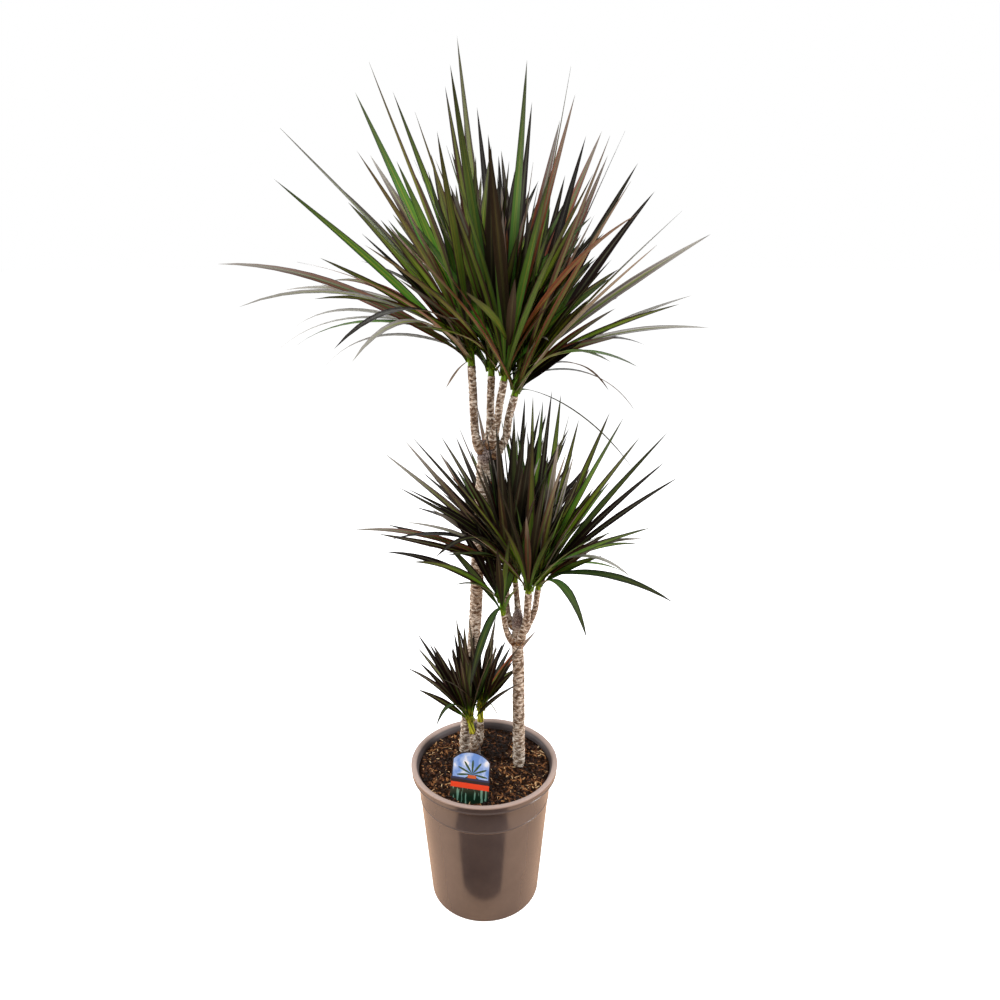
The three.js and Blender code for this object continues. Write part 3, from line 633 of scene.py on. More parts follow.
def dracaena_leaf(add):
    """Living leaf, waxy: a green midstrip between dark purple-red edges, lime where it clasps the shoot."""
    names = ("along", "across", "tone", "green", "under", "sheath")
    shares = [add("Attribute", attribute_name=name, out="Fac") for name in names]
    along, side, tone, green, under, sheath = shares
    # Veins run the leaf's whole length, about 0.7 mm apart: drawn coarser, at 2 mm, so that they show.
    place = add("CombineXYZ", side, along, tone)
    vein = add("TexNoise", add("Mapping", place, Scale=(3.4, 1.3, 61.0)), Scale=1.0, Detail=2.0)
    edge = add("Math ABSOLUTE", side)
    width = add("Math SUBTRACT", add("Math MULTIPLY_ADD", vein, 0.6, edge), green)
    margin = add("MapRange", width, 0.18, 0.42)
    # The green is fresh near the shoot and olive further out.
    fresh = add("ValToRGB", green, stops={0.1: "#1f2a0c", 0.5: "#4c6c08", 0.9: "#3c8a04"})
    olive = add("ValToRGB", green, stops={0.1: "#6a6960", 0.5: "#4f5512", 0.7: "#465f18", 0.9: "#45791f"})
    hue = add("Mix RGBA", add("MapRange", along, 0.3, 0.75), fresh, olive)
    # On a leaf with a dark margin the midstrip is deep green too; on the dark leaves this dimming is part of
    # their painted shade.
    bright = add("MapRange", tone, 0.05, 0.4, 0.28, 1.0)
    dull = add("MapRange", tone, 0.05, 0.4, 0.72, 1.0)
    color = add("HueSaturation", Color=hue, Saturation=dull, Value=bright)
    lined = add("Math MULTIPLY", add("MapRange", vein, 0.52, 0.66, 0.0, 0.5), bright)
    # The margin's colour lies in streaks between the veins, and a dark line runs along the very edge.
    # The lowest, near-black tones are partly painted shade on dark leaves that lie in shadow.
    darkest = {0.0: "#0d0a0a", 0.3: "#26140f", 0.5: "#2f170d", 0.7: "#4b220e"}
    # Above the rust the margin turns grey-brown, then pale grey: a painted sheen on dusk and mauve leaves,
    # and the grey of the pale dry ones.
    dark = add("ValToRGB", tone, stops={**darkest, 0.81: "#8c4018", 0.9: "#5d4838", 1.0: "#a29f9a"})
    streaked = add("Mix RGBA", add("MapRange", vein, 0.36, 0.58, 0.85, 0.0), dark, "#140b08")
    hem = add("MapRange", edge, 0.84, 0.98, 0.0, 0.7)
    middle = add("MapRange", edge, 0.05, 0.16, 0.55, 0.0)
    shown = add("Math MULTIPLY", middle, add("MapRange", green, 0.2, 0.6, 0.2, 1.0))
    rib = add("Math MULTIPLY", shown, bright)
    back = add("Math MULTIPLY", under, 0.2)
    # The tips are dry; on dusk and mauve leaves their pale grey is painted sheen.
    dry = add("MapRange", along, 0.66, 0.95, 0.0, 0.75)
    ends = add("ValToRGB", tone, stops={0.0: "#1c1917", 0.6: "#35312b", 0.92: "#989590"})
    clasp = add("MapRange SMOOTHSTEP", sheath, -0.5, 0.7)
    lime = add("ValToRGB", sheath, stops={0.0: "#2c540e", 0.4: "#588a17", 0.62: "#85a326", 0.95: "#cdc93f"})
    # Brown scraps of old sheath stand between the leaf bases.
    gap = add("MapRange", edge, 0.55, 0.9, 0.0, 0.95)
    scraps = add("Math MULTIPLY", add("Math MULTIPLY_ADD", gap, vein, 0.45), gap)
    sheathed = add("Mix RGBA", scraps, lime, "#3f3214")
    layers = [(lined, "#98a03a"), (margin, streaked), (hem, "#1a0f0c"), (rib, "#7d8030"), (back, "#5b5644")]
    for cover, paint in [*layers, (dry, ends), (clasp, sheathed)]:
        color = add("Mix RGBA", cover, color, paint)
    ribs = add("Bump", Height=vein, Strength=0.5, Distance=0.0008)
    rough = add("MapRange", vein, 0.3, 0.7, 0.36, 0.55)
    # Dark leaves shine less than mauve ones.
    sheen = add("MapRange", tone, 0.1, 0.9, 0.07, 0.28)
    return {"Base_Color": color, "Roughness": rough, "Normal": ribs, "Specular_IOR_Level": sheen}


def cane_bark(add):
    """Corky bark of a young dracaena, matt: pale beige in fine rings, flecked brown, tan at the knobs."""
    scar, knob, cut = (add("Attribute", attribute_name=name, out="Fac") for name in ("scar", "knob", "cut"))
    place = add("Attribute", attribute_name="ring", out="Vector")
    # Rings lie across the cane, about 6 mm long and 2 mm high; blotches are about 10 mm, crumbs 1.5 mm.
    flat = add("Mapping", place, Scale=(0.16, 0.16, 0.55))
    streaks = add("TexNoise", flat, Scale=1.0, Detail=5.0, Roughness=0.7)
    blotches = add("TexNoise", place, Scale=0.1, Detail=4.0, Roughness=0.65)
    crumbs = add("TexNoise", place, Scale=0.7, Detail=4.0, Roughness=0.75)
    patch = add("Math MULTIPLY_ADD", blotches, 3.2, -1.6)
    speck = add("Math MULTIPLY_ADD", crumbs, -2.2, 1.1)
    marks = add("Math ADD", add("Math MULTIPLY_ADD", scar, 1.15, patch), speck)
    mark = add("MapRange", marks, 0.14, 0.6, 0.0, 0.94)
    brown = add("ValToRGB", crumbs, stops={0.35: "#291a11", 0.5: "#59422f", 0.65: "#8a7053"})
    tan = add("ValToRGB", crumbs, stops={0.36: "#21130b", 0.5: "#644630", 0.62: "#b08b62"})
    weathered = add("ValToRGB", crumbs, stops={0.38: "#241b1a", 0.5: "#5a4b48", 0.61: "#a89a96"})
    beiges = {0.33: "#4a382b", 0.43: "#86715f", 0.51: "#b9a997", 0.6: "#efe7dc"}
    color = add("ValToRGB", streaks, stops=beiges)
    for cover, paint in [(mark, brown), (knob, tan), (cut, weathered)]:
        color = add("Mix RGBA", cover, color, paint)
    crust = add("Bump", Height=add("Math ADD", streaks, crumbs), Strength=0.9, Distance=0.0015)
    return {"Base_Color": color, "Roughness": 0.85, "Normal": crust, "Specular_IOR_Level": 0.3}


def pot_polypropylene(add):
    """Injection-moulded polypropylene, glossy taupe, faintly clouded by its flow in the mould."""
    place = add("TexCoord", out="Object")
    # Flow marks are about 40 mm wide; fine scuffs about 4 mm.
    cloud = add("TexNoise", place, Scale=25.0, Detail=4.0)
    # The lip's top is painted paler than the wall, a painted highlight where it faces the light, and it is
    # made duller, as rubbed.
    taupe = add("ValToRGB", cloud, stops={0.3: "#484040", 0.7: "#514847"})
    # The lip is rubbed paler and duller than the wall.
    height = add("SeparateXYZ", place, out="Z")
    top = POT["height"] * MM
    lip = add("MapRange", height, top - 3.2 * MM, top - 1.2 * MM)
    scuff = add("TexNoise", place, Scale=250.0, Detail=4.0, Roughness=0.7)
    dull = add("Math MULTIPLY_ADD", lip, 0.35, add("MapRange", scuff, 0.3, 0.7, 0.13, 0.24))
    # Inside, the wall is matt with potting dust. It leans out to the lip above the mix.
    away = add("VectorMath LENGTH", add("VectorMath MULTIPLY", place, (1.0, 1.0, 0.0)))
    upright = add("Math MULTIPLY_ADD", height, -TAPER, away)
    risen = add("Math MAXIMUM", add("Math SUBTRACT", height, SOIL["level"] * MM), 0.0)
    lean = add("Math MULTIPLY_ADD", risen, -0.6, upright)
    wall = (POT["foot"] - POT["wall"]) * MM
    inner = add("MapRange", lean, wall + 1.4 * MM, wall + 0.6 * MM)
    return {
        # The pale lip colour is the painted highlight.
        "Base_Color": add("Mix RGBA", lip, taupe, "#a18d84"),
        "Roughness": add("Math MULTIPLY_ADD", inner, 0.35, dull),
        "Normal": add("Bump", Height=cloud, Strength=0.06, Distance=0.001),
        "IOR": 1.49,
        "Specular_IOR_Level": add("MapRange", add("Math MAXIMUM", lip, inner), 0.0, 1.0, 1.0, 0.3),
    }


def potting_mix(add):
    """Moist peat and bark mix: near-black crumbs of about 2 mm."""
    place = add("TexCoord", out="Object")
    crumbs = add("TexVoronoi", place, Scale=420.0)
    dust = add("TexNoise", place, Scale=260.0, Detail=5.0)
    color = add("ValToRGB", dust, stops={0.3: "#130a06", 0.55: "#25150c", 0.75: "#422917"})
    bump = add("Bump", Height=add("Math ADD", crumbs, dust), Strength=1.0, Distance=0.002)
    return {"Base_Color": color, "Roughness": 0.9, "Normal": bump, "Specular_IOR_Level": 0.03}


def bark_chips(add):
    """Shreds of pine bark and coir, dry on top: dark brown to orange, with a few pale fibres."""
    tone = add("Attribute", attribute_name="tone", out="Fac")
    # The grain of a shred is about 1.5 mm long.
    grain = add("TexNoise", add("TexCoord", out="Object"), Scale=700.0, Detail=3.0)
    share = add("Math MULTIPLY", add("Math MULTIPLY_ADD", grain, 0.3, tone), 0.72)
    browns = {0.1: "#0b0604", 0.35: "#241309", 0.58: "#58341d", 0.78: "#976538", 1.0: "#dcbd90"}
    color = add("ValToRGB", share, stops=browns)
    bump = add("Bump", Height=grain, Strength=0.6, Distance=0.0006)
    return {"Base_Color": color, "Roughness": 0.75, "Normal": bump, "Specular_IOR_Level": 0.2}


def arch_radius():
    half, rise = LABEL["width"] / 2, LABEL["arch"]
    return (half * half + rise * rise) / (2 * rise)


def printed_card(add):
    """Printed card, satin: a spiky plant in a pot under a clouded sky, a red band and dark grass."""
    spot = add("UVMap", uv_map="print")
    u, v, _ = add("SeparateXYZ", spot).node.outputs
    clouds = add("TexNoise", spot, Scale=4.0, Detail=3.0)
    sky = add("ValToRGB", clouds, stops={0.4: "#5f8fdc", 0.55: "#9dbdf0", 0.65: "#e4edfa"})
    bands = add("ValToRGB", v, stops={0.0: "#0c2617", 0.3: "#e03a12", 0.4: "#14121f", 0.46: "#1c2b52"})
    bands.node.color_ramp.interpolation = "CONSTANT"
    panel = add("Math GREATER_THAN", v, 0.5)
    # The plant: rays about a point, each as wide as the distance to its end.
    right = add("Math SUBTRACT", u, 0.54)
    above = add("Math MULTIPLY_ADD", v, 1.5, -0.87)
    rays = add("Math MULTIPLY", add("Math ARCTAN2", right, above), 11.0)
    away = add("VectorMath LENGTH", add("CombineXYZ", right, above))
    ends = add("Math MULTIPLY_ADD", away, -4.2, add("Math COSINE", rays))
    plant = add("Math MULTIPLY", add("Math GREATER_THAN", ends, -0.7), panel)
    narrow = add("Math LESS_THAN", add("Math ABSOLUTE", right), 0.11)
    low = add("Math LESS_THAN", above, -0.03)
    pot = add("Math MULTIPLY", add("Math MULTIPLY", narrow, low), panel)
    # Grass in the lowest band: slanting blades about 2 mm wide.
    lean = add("Mapping", spot, Rotation=(0, 0, 0.5), Scale=(13.0, 2.4, 1.0))
    light = add("Math GREATER_THAN", add("TexNoise", lean, Scale=1.0, Detail=2.0), 0.56)
    grass = add("Math MULTIPLY", light, add("Math LESS_THAN", v, 0.3))
    # A dark border runs up the sides and round the arch.
    side = add("Math SUBTRACT", u, 0.5)
    rim = add("Math GREATER_THAN", add("Math ABSOLUTE", side), 0.465)
    tall, radius = LABEL["shoulder"] + LABEL["arch"], arch_radius()
    beside = add("Math MULTIPLY", side, LABEL["width"])
    over = add("Math MULTIPLY_ADD", v, tall, radius - tall)
    spoke = add("VectorMath LENGTH", add("CombineXYZ", beside, over))
    arch = add("Math GREATER_THAN", spoke, radius - 1.8)
    border = add("Math MULTIPLY", add("Math MAXIMUM", rim, arch), panel)
    color = bands
    print_run = [(plant, "#1f4a2a"), (pot, "#c65a2a"), (grass, "#6f9a86"), (border, "#14121f")]
    for cover, paint in [(panel, sky), *print_run]:
        color = add("Mix RGBA", cover, color, paint)
    return {"Base_Color": color, "Roughness": 0.3}


def studio_paper(add):
    """Matt paper: white to the camera, and warm brown to every other ray, which paints a warm reflection into
    the gloss of the pot.
    """
    straight = add("LightPath")
    # The warm colour is a painted reflection, seen only in the pot's gloss and in bounced light.
    color = add("Mix RGBA", straight, "#e9bf9e", "#e6e6e6")
    lift = add("Math MULTIPLY", straight, 0.9)
    return {"Base_Color": color, "Roughness": 0.9, "Emission_Color": "#ffffff", "Emission_Strength": lift}


def flag_felt(_):
    """Black felt."""
    return {"Base_Color": "#0c0a0a", "Roughness": 1.0}


# ---------------------------------------------------------------- making pieces


def to_mesh(name, bm, smooth=False):
    for face in bm.faces:
        face.smooth = smooth
    mesh = bpy.data.meshes.new(name)
    bm.to_mesh(mesh)
    bm.free()
    return mesh


def add_object(name, data):
    made = bpy.data.objects.new(name, data)
    bpy.context.scene.collection.objects.link(made)
    return made


def add_piece(mesh, material, slot, *replaced):
    mesh.materials.append(material)
    piece = add_object(mesh.name, mesh)
    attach(piece, "root")
    if replaced:
        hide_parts(*replaced)
    return piece


def repeat_shape(name, template, count, smooth=False):
    """A mesh of many copies of one small shape, whose vertices are then placed by the caller."""
    bm = bmesh.new()
    for _ in range(count):
        bm.from_mesh(template)
    return to_mesh(name, bm, smooth)


def set_values(mesh, name, values, domain="POINT"):
    layer = mesh.attributes.new(name, "FLOAT", domain)
    layer.data.foreach_set("value", np.asarray(values, float).ravel())


def add_tube(bm, layers, outline, values, sides, rings):
    """Wraps a grid into a closed tube. The outline gives a place for each share of the length and angle."""
    made = bmesh.ops.create_grid(bm, x_segments=sides, y_segments=rings, size=0.5)["verts"]
    for vert in made:
        s, angle = vert.co.y + 0.5, (vert.co.x + 0.5) * 2 * math.pi
        for key, value in values(s, angle).items():
            vert[layers[key]] = value
        vert.co = Vector(outline(s, angle)) * MM
    bmesh.ops.remove_doubles(bm, verts=made, dist=MERGE)
    alive = [v for v in made if v.is_valid]
    rim = [e for v in alive for e in v.link_edges if e.is_boundary]
    filled = bmesh.ops.holes_fill(bm, edges=list(set(rim)))["faces"]
    faces = list({f for v in alive for f in v.link_faces} | set(filled))
    bmesh.ops.recalc_face_normals(bm, faces=faces)


# ---------------------------------------------------------------- leaves

BLADE_RINGS = 16
LEAF_THICK = 0.7
TIP_THICK = 0.25  # thickness at the tip, as a share of that at the foot
LEAF_FOLD = 0.3  # rise of the edges above the midrib, as a share of half the width
CLASP_LENGTH = 0.06  # of the foot that wraps round the shoot, as a share of the leaf's length
CLASP_WIDTH = 0.95  # half its width, as a share of the shoot's radius
HUG = 0.8  # how far from the shoot's axis a leaf starts, as a share of the shoot's radius
SHOOT = {"sides": 20, "rings": 16, "grooves": 0.9, "turns": 2.5, "twist": 6}


def blade_template():
    """A long bar of four sides. Its corners become two edges, a midrib and the groove above it."""
    bm = bmesh.new()
    bmesh.ops.create_cone(bm, cap_ends=True, segments=4, radius1=1, radius2=1, depth=1)
    sides = [e for e in bm.edges if abs(e.verts[0].co.z - e.verts[1].co.z) > 0.5]
    bmesh.ops.subdivide_edges(bm, edges=sides, cuts=BLADE_RINGS - 1, use_grid_fill=True)
    return to_mesh("blade", bm)


def make_leaves(crown, leaves, material):
    template = blade_template()
    corners = np.array([v.co for v in template.vertices])
    turn = np.round(np.degrees(np.arctan2(corners[:, 1], corners[:, 0])) / 90).astype(int) % 4
    level = np.clip(corners[:, 2] + 0.5, 0, 1)
    t = level**1.1
    edge = np.where(turn == 0, 1.0, np.where(turn == 2, -1.0, 0.0))
    rise = np.where(turn == 1, 0.5, np.where(turn == 3, -0.5, 0.0))
    under = np.where([p.normal.y < 0 for p in template.polygons], 1.0, 0.0)
    clasp = np.exp(-((t / CLASP_LENGTH) ** 2))
    places, tones, greens, sheaths = [], [], [], []
    for leaf in leaves:
        head = leaf["head"]
        line, width = leaf["line"], crown["width"] * leaf["wide"]
        heading = line[3] - line[0]
        level_side = unit(np.array([-heading[1], heading[0], 0.0]))
        rising = max(unit(heading)[2], 0)
        facing = level_side[1] * (FACING["flat"] + FACING["steep"] * rising)
        width *= LEVEL_WIDTH + (1 - LEVEL_WIDTH) * rising
        out = unit(heading - head["axis"] * (heading @ head["axis"]))
        hug = head["bare"] * HUG
        line = (line[0] + out * hug, line[1] + out * hug * 0.6, line[2], line[3])
        wrap = np.cross(head["axis"], out)
        tangents = bezier_heading(line, t)
        spots = bezier(line, t)
        half = np.maximum(leaf_width(t, 0.3 + 0.2 * rising) * width / 2, head["bare"] * CLASP_WIDTH * clasp)
        half = half * np.where(t > 0.999, 0.02, 1.0)
        fold = LEAF_FOLD * (1 - t**3) * (1 - clasp) - 0.5 * clasp
        for k in range(len(t)):
            turn_by = math.radians(leaf["twist"] * t[k] + facing * min(4 * t[k], 1))
            turned = Matrix.Rotation(turn_by, 3, Vector(tangents[k])) @ Vector(level_side)
            sideways = np.array(turned) * (1 - clasp[k]) + wrap * clasp[k]
            sideways = unit(sideways - tangents[k] * (sideways @ tangents[k]))
            upper = np.cross(tangents[k], sideways)
            thick = LEAF_THICK * (1 - (1 - TIP_THICK) * t[k])
            lift = abs(edge[k]) * half[k] * fold[k] + rise[k] * thick
            places.append(spots[k] + sideways * (edge[k] * half[k]) + upper * lift)
        tones += [leaf["tone"]] * len(t)
        greens += [leaf["green"]] * len(t)
        sheaths += list(crown["lime"] - t * np.linalg.norm(heading) / crown["sheath"])
    count = len(leaves)
    mesh = repeat_shape("leaves_" + crown["name"], template, count, smooth=True)
    mesh.vertices.foreach_set("co", (np.array(places) * MM).ravel())
    columns = {
        "along": np.tile(t, count), "across": np.tile(edge, count), "tone": tones, "green": greens,
        "sheath": sheaths,
    }
    for name, values in columns.items():
        set_values(mesh, name, values)
    set_values(mesh, "under", np.tile(under, count), "FACE")
    crease = [abs(edge[e.vertices[0]]) > 0.5 and abs(edge[e.vertices[1]]) > 0.5 for e in template.edges]
    sharp = mesh.attributes.get("sharp_edge") or mesh.attributes.new("sharp_edge", "BOOLEAN", "EDGE")
    sharp.data.foreach_set("value", np.tile(np.array(crease), count))
    mesh.update()
    bpy.data.meshes.remove(template)
    add_piece(mesh, material, "leaves", "crown_" + crown["name"])


def make_shoots(crown, heads, material):
    """The green ends of the shoots, ribbed by the leaf bases that clasp them."""
    bm = bmesh.new()
    names = ("along", "across", "tone", "green", "under", "sheath")
    layers = {name: bm.verts.layers.float.new(name) for name in names}
    for head in heads:
        core, foot = crown["core"] * 0.9, head["bare"] * 0.95
        stops = np.array([0, 0.3, 1.0, 1.1])
        radii = np.array([foot, foot * 1.05, foot * 0.5, 0.5])
        first, second = across(head["axis"])

        def rib(s, angle):
            return abs(math.sin(SHOOT["turns"] * angle + SHOOT["twist"] * s))

        def outline(s, angle):
            share = s * 1.1
            groove = -SHOOT["grooves"] * rib(s, angle) ** 3
            radius = float(np.interp(share, stops, radii)) + groove * min(share * 4, 1)
            beside = (first * math.cos(angle) + second * math.sin(angle)) * radius
            return head["place"] + head["axis"] * (core * share) + beside

        def values(s, angle):
            look = {"along": 0.3 * s, "across": rib(s, angle), "sheath": crown["lime"] * (1.0 - 0.7 * s)}
            return {**look, "tone": 0.3, "green": 1.0, "under": 0.0}

        add_tube(bm, layers, outline, values, SHOOT["sides"], SHOOT["rings"])
    add_piece(to_mesh("shoots_" + crown["name"], bm, smooth=True), material, "leaves")


# ---------------------------------------------------------------- canes

# How a stem's bark is made: length of a row of leaf scars, scars round a row, their depth and the roughness
# of the worn top as shares of the radius, their strength in the colour, its sides and its rings' length.
TRUNK = {"row": 6.5, "around": 4, "depth": 0.1, "rugged": 0.2, "scars": 0.62, "sides": 32, "ring": 1.1}
BRANCH = {"row": 6.0, "around": 3, "depth": 0.15, "rugged": 0.0, "scars": 1.0, "sides": 22, "ring": 0.8}
TRUNK_SHIFT, BRANCH_SHIFT = 3.7, 11.3  # so that no two stems have the same scars
APART = 60  # so that no two branches have the same flecks
SCAR = {"high": 0.31, "wide": 0.32}  # half the size of a scar, as a share of its place in the row
STANDING = 6  # of a cane that comes straight out of the potting mix


def smooth_route(points, step=0.5):
    """A centripetal curve through the points, as places an even distance apart, and its length."""
    points = [points[0] * 2 - points[1], *points, points[-1] * 2 - points[-2]]
    fine = []
    for near in zip(points, points[1:], points[2:], points[3:]):
        knots = np.cumsum([0.0] + [np.linalg.norm(b - a) ** 0.5 for a, b in zip(near, near[1:])])
        for t in np.linspace(knots[1], knots[2], 40, endpoint=False):

            def between(p, q, i, j):
                return ((knots[j] - t) * p + (t - knots[i]) * q) / (knots[j] - knots[i])

            a1, a2, a3 = (between(near[i], near[i + 1], i, i + 1) for i in range(3))
            fine.append(between(between(a1, a2, 0, 2), between(a2, a3, 1, 3), 1, 2))
    fine.append(points[-2])
    fine = np.array(fine)
    length = np.concatenate([[0], np.cumsum(np.linalg.norm(np.diff(fine, axis=0), axis=1))])
    even = np.linspace(0, length[-1], max(int(length[-1] / step), 2) + 1)
    return np.stack([np.interp(even, length, fine[:, k]) for k in range(3)], axis=1), length[-1]


def bark_mark(along, angle, bark, shift):
    """How far a place is inside a leaf scar, from 0 to 1. Scars lie in rows, each turned from the last."""
    wave = noise.noise(Vector((math.cos(angle) * 1.3 + shift, math.sin(angle) * 1.3, along * 0.12)))
    rows = along / bark["row"] + 0.55 * wave
    row = math.floor(rows)
    up = abs(rows - row - 0.5)
    turn = (angle / (2 * math.pi)) * bark["around"] + row * 0.382 * bark["around"] + 0.3 * wave
    aside = abs(turn - math.floor(turn) - 0.5)
    return max(0.0, 1 - (up / SCAR["high"]) ** 4) * max(0.0, 1 - (aside / SCAR["wide"]) ** 4)


def add_stem(bm, layers, points, bark, shift, apart, radius, radius_at, look_at):
    """Adds a stem through the points. The last two give its radius, and its knob's tan and cut's grey."""
    path, length = smooth_route(points)
    steps = len(path) - 1
    tangents = np.gradient(path, axis=0)

    def outline(s, angle):
        k = s * steps
        i = min(int(k), steps - 1)
        centre = path[i] + (path[i + 1] - path[i]) * (k - i)
        first, second = across(unit(tangents[min(int(k + 0.5), steps)]))
        inside = bark_mark(s * length, angle, bark, shift)
        rough = noise.noise(Vector((math.cos(angle) * 3 + shift, math.sin(angle) * 3, s * length * 0.45)))
        worn = bark["depth"] * 0.8 + bark["rugged"] * max(0.0, (s - 1) * length / CUT_LENGTH + 1)
        around = radius_at(s * length, length) * (1 + bark["depth"] * (0.5 - inside) + worn * rough)
        return centre + (first * math.cos(angle) + second * math.sin(angle)) * around

    def values(s, angle):
        inside = bark_mark(s * length, angle, bark, shift)
        ring = (radius * math.cos(angle) + apart, radius * math.sin(angle), s * length)
        knob, cut = look_at(s * length, length)
        return {"scar": inside * bark["scars"], "knob": knob, "cut": cut, "ring": ring}

    add_tube(bm, layers, outline, values, bark["sides"], max(int(length / bark["ring"]), 8))


def make_cane(cane, material):
    bm = bmesh.new()
    layers = {name: bm.verts.layers.float.new(name) for name in ("scar", "knob", "cut")}
    layers["ring"] = bm.verts.layers.float_vector.new("ring")
    x, y, _ = seen(*cane["route"][0])
    levels = (SOIL["level"] - BURIED, SOIL["level"] - BURIED * 0.5, SOIL["level"] + STANDING)
    points = [np.array([x, y, level]) for level in levels] + [seen(*p) for p in cane["route"][1:]]

    def trunk_radius(along, length):
        dome = math.sqrt(max(1 - max((along - length) / DOME + 1, 0) ** 2, 0.01))
        return (cane["radius"] + (cane["top_radius"] - cane["radius"]) * (along / length) ** 4) * dome

    def trunk_look(along, length):
        return 0.0, min(max((along - length) / CUT_LENGTH + 1, 0) * 3, 1) * 0.9

    add_stem(bm, layers, points, TRUNK, TRUNK_SHIFT, 0, cane["radius"], trunk_radius, trunk_look)

    def branch_look(along, _):
        return min(math.exp(-(((along - 5) / 8) ** 2)) * 1.2, 1), 0.0

    for n, (radius, route) in enumerate(cane["branches"]):

        def branch_radius(along, _):
            root = math.sqrt(max(1 - max(1 - along / ROOT, 0) ** 2, 0.01))
            return radius * (1 + (KNOB - 1) * math.exp(-(((along - 8) / KNOB_LENGTH) ** 2))) * root

        points = [seen(*p) for p in route]
        add_stem(bm, layers, points, BRANCH, BRANCH_SHIFT * n, APART * n, radius, branch_radius, branch_look)
    mesh = to_mesh("bark_" + cane["name"], bm, smooth=True)
    add_piece(mesh, material, "bark", "cane_" + cane["name"])


# ---------------------------------------------------------------- pot

POT_SIDES, SOIL_SIDES, SOIL_RINGS = 160, 150, 58


def turned(profile, steps, bevels=()):
    """Turns a profile of (radius, height) about the pot's axis. A bevel has a radius, steps and corners."""
    bm = bmesh.new()
    verts = [bm.verts.new((r * MM, 0, z * MM)) for r, z in profile]
    for pair in zip(verts, verts[1:]):
        bm.edges.new(pair)
    for offset, segments, corners in bevels:
        bmesh.ops.bevel(
            bm, geom=[verts[i] for i in corners], offset=offset * MM, segments=segments, profile=0.5,
            affect="VERTICES", material=-1,
        )
    whole = bm.verts[:] + bm.edges[:]
    bmesh.ops.spin(
        bm, geom=whole, cent=(0, 0, 0), axis=(0, 0, 1), angle=2 * math.pi, steps=steps, use_merge=True
    )
    bmesh.ops.remove_doubles(bm, verts=bm.verts[:], dist=MERGE)
    bmesh.ops.recalc_face_normals(bm, faces=bm.faces[:])
    return bm


def make_pot(material):
    height, rim, foot, wall = POT["height"], POT["rim"], POT["foot"], POT["wall"]
    under = height - POT["skirt"]
    floor = FOOT["lift"] + wall

    def body(z):
        return foot + TAPER * z

    low, high = BEAD["height"] - BEAD["width"] / 2, BEAD["height"] + BEAD["width"] / 2
    profile = [
        (0, 0),
        (FOOT["boss"], 0),
        (FOOT["boss"] + 2, FOOT["lift"]),
        (FOOT["recess"], FOOT["lift"]),
        (FOOT["recess"] + 2, 0),
        (foot, 0),
        (body(low), low),
        (body(BEAD["height"]) + BEAD["proud"], BEAD["height"]),
        (body(high), high),
        (body(under), under + 1),
        (rim - 1.6, under),
        (rim - 0.9, under + 1.6),
        (rim - 1.8, under + 3.2),
        (rim - 0.2, height - 3.4),
        (rim, height),
        (rim - POT["lip"], height),
        (body(height - 6) - wall, height - 6),
        (body(floor) - wall, floor),
        (0, floor),
    ]
    small = (0.7, 3, (1, 2, 3, 4, 6, 7, 8, 10, 11, 12, 13))
    bevels = [(2.4, 5, (5,)), (1.6, 5, (14, 15)), small, (1.8, 4, (9, 16, 17))]
    mesh = to_mesh("moulded_pot", turned(profile, POT_SIDES, bevels), smooth=True)
    piece = add_piece(mesh, material, "pot_plastic", "pot")
    cutter = bmesh.new()
    ring, hole = FOOT["hole_ring"] * MM, FOOT["hole_radius"] * MM
    for i in range(FOOT["holes"]):
        angle = (i + 0.5) / FOOT["holes"] * 2 * math.pi
        place = Matrix.Translation((ring * math.cos(angle), ring * math.sin(angle), 0))
        size = {"radius1": hole, "radius2": hole, "depth": 4 * floor * MM}
        bmesh.ops.create_cone(cutter, cap_ends=True, segments=24, matrix=place, **size)
    holes = add_object("drain_holes", to_mesh("drain_holes", cutter))
    cut = piece.modifiers.new("drain_holes", "BOOLEAN")
    cut.operation = "DIFFERENCE"
    cut.solver = "EXACT"
    cut.object = holes
    graph = bpy.context.evaluated_depsgraph_get()
    finished = bpy.data.meshes.new_from_object(piece.evaluated_get(graph))
    piece.modifiers.clear()
    piece.data = finished
    bpy.data.objects.remove(holes)


# ---------------------------------------------------------------- soil

CHIPS = 3000
CHIP_SEED = 5
STREWN = 91  # how far from the pot's axis the chips lie
LEVEL_EDGE = 93  # how far from the pot's axis the chips' bed comes down to the mix's level
CLEAR_OF_CANES = 10
# Kinds of chips, crumbs, flakes and fibres: which draws give them, the ranges of their length, width and
# thickness, the range of their tone, and how much paler they are where it is dry.
CHIP_KINDS = [
    (0.5, ((1.2, 2.8), (0.9, 1.9), (0.7, 1.4)), (-0.1, 0.3), 0.3),
    (0.88, ((2.0, 5.2), (0.8, 1.8), (0.4, 0.9)), (0.0, 0.7), 0.4),
    (1.0, ((2.5, 6.5), (0.4, 0.9), (0.3, 0.6)), (0.4, 1.1), 0.3),
]


def soil_height(x, y):
    spot = Vector((x * 0.05, y * 0.05, 0.3))
    crumbs = Vector((x * 0.32, y * 0.32, 4.1))
    return 1.3 * noise.noise(spot) + 1.5 * noise.noise(crumbs) + 0.8 * noise.noise(crumbs * 2.7)


def make_soil(material):
    floor = FOOT["lift"] + POT["wall"] + GAP

    def inner(z):
        return POT["foot"] + TAPER * z - POT["wall"] - 0.1

    top = inner(SOIL["level"])
    profile = [(0, floor), (inner(floor), floor), (top, SOIL["level"] - 0.5)]
    for i in range(SOIL_RINGS - 1, -1, -1):
        share = i / SOIL_RINGS
        profile.append((top * share, SOIL["level"] + SOIL["crown"] * (1 - share * share)))
    bm = turned(profile, SOIL_SIDES)
    for vert in bm.verts:
        x, y, z = vert.co / MM
        radius = math.hypot(x, y)
        if z > SOIL["level"] - 0.1 and radius < top - 1:
            vert.co.z += soil_height(x, y) * min(1, (top - radius) / 6) * MM
    add_piece(to_mesh("potting_mix", bm, smooth=True), material, "potting_mix", "soil")


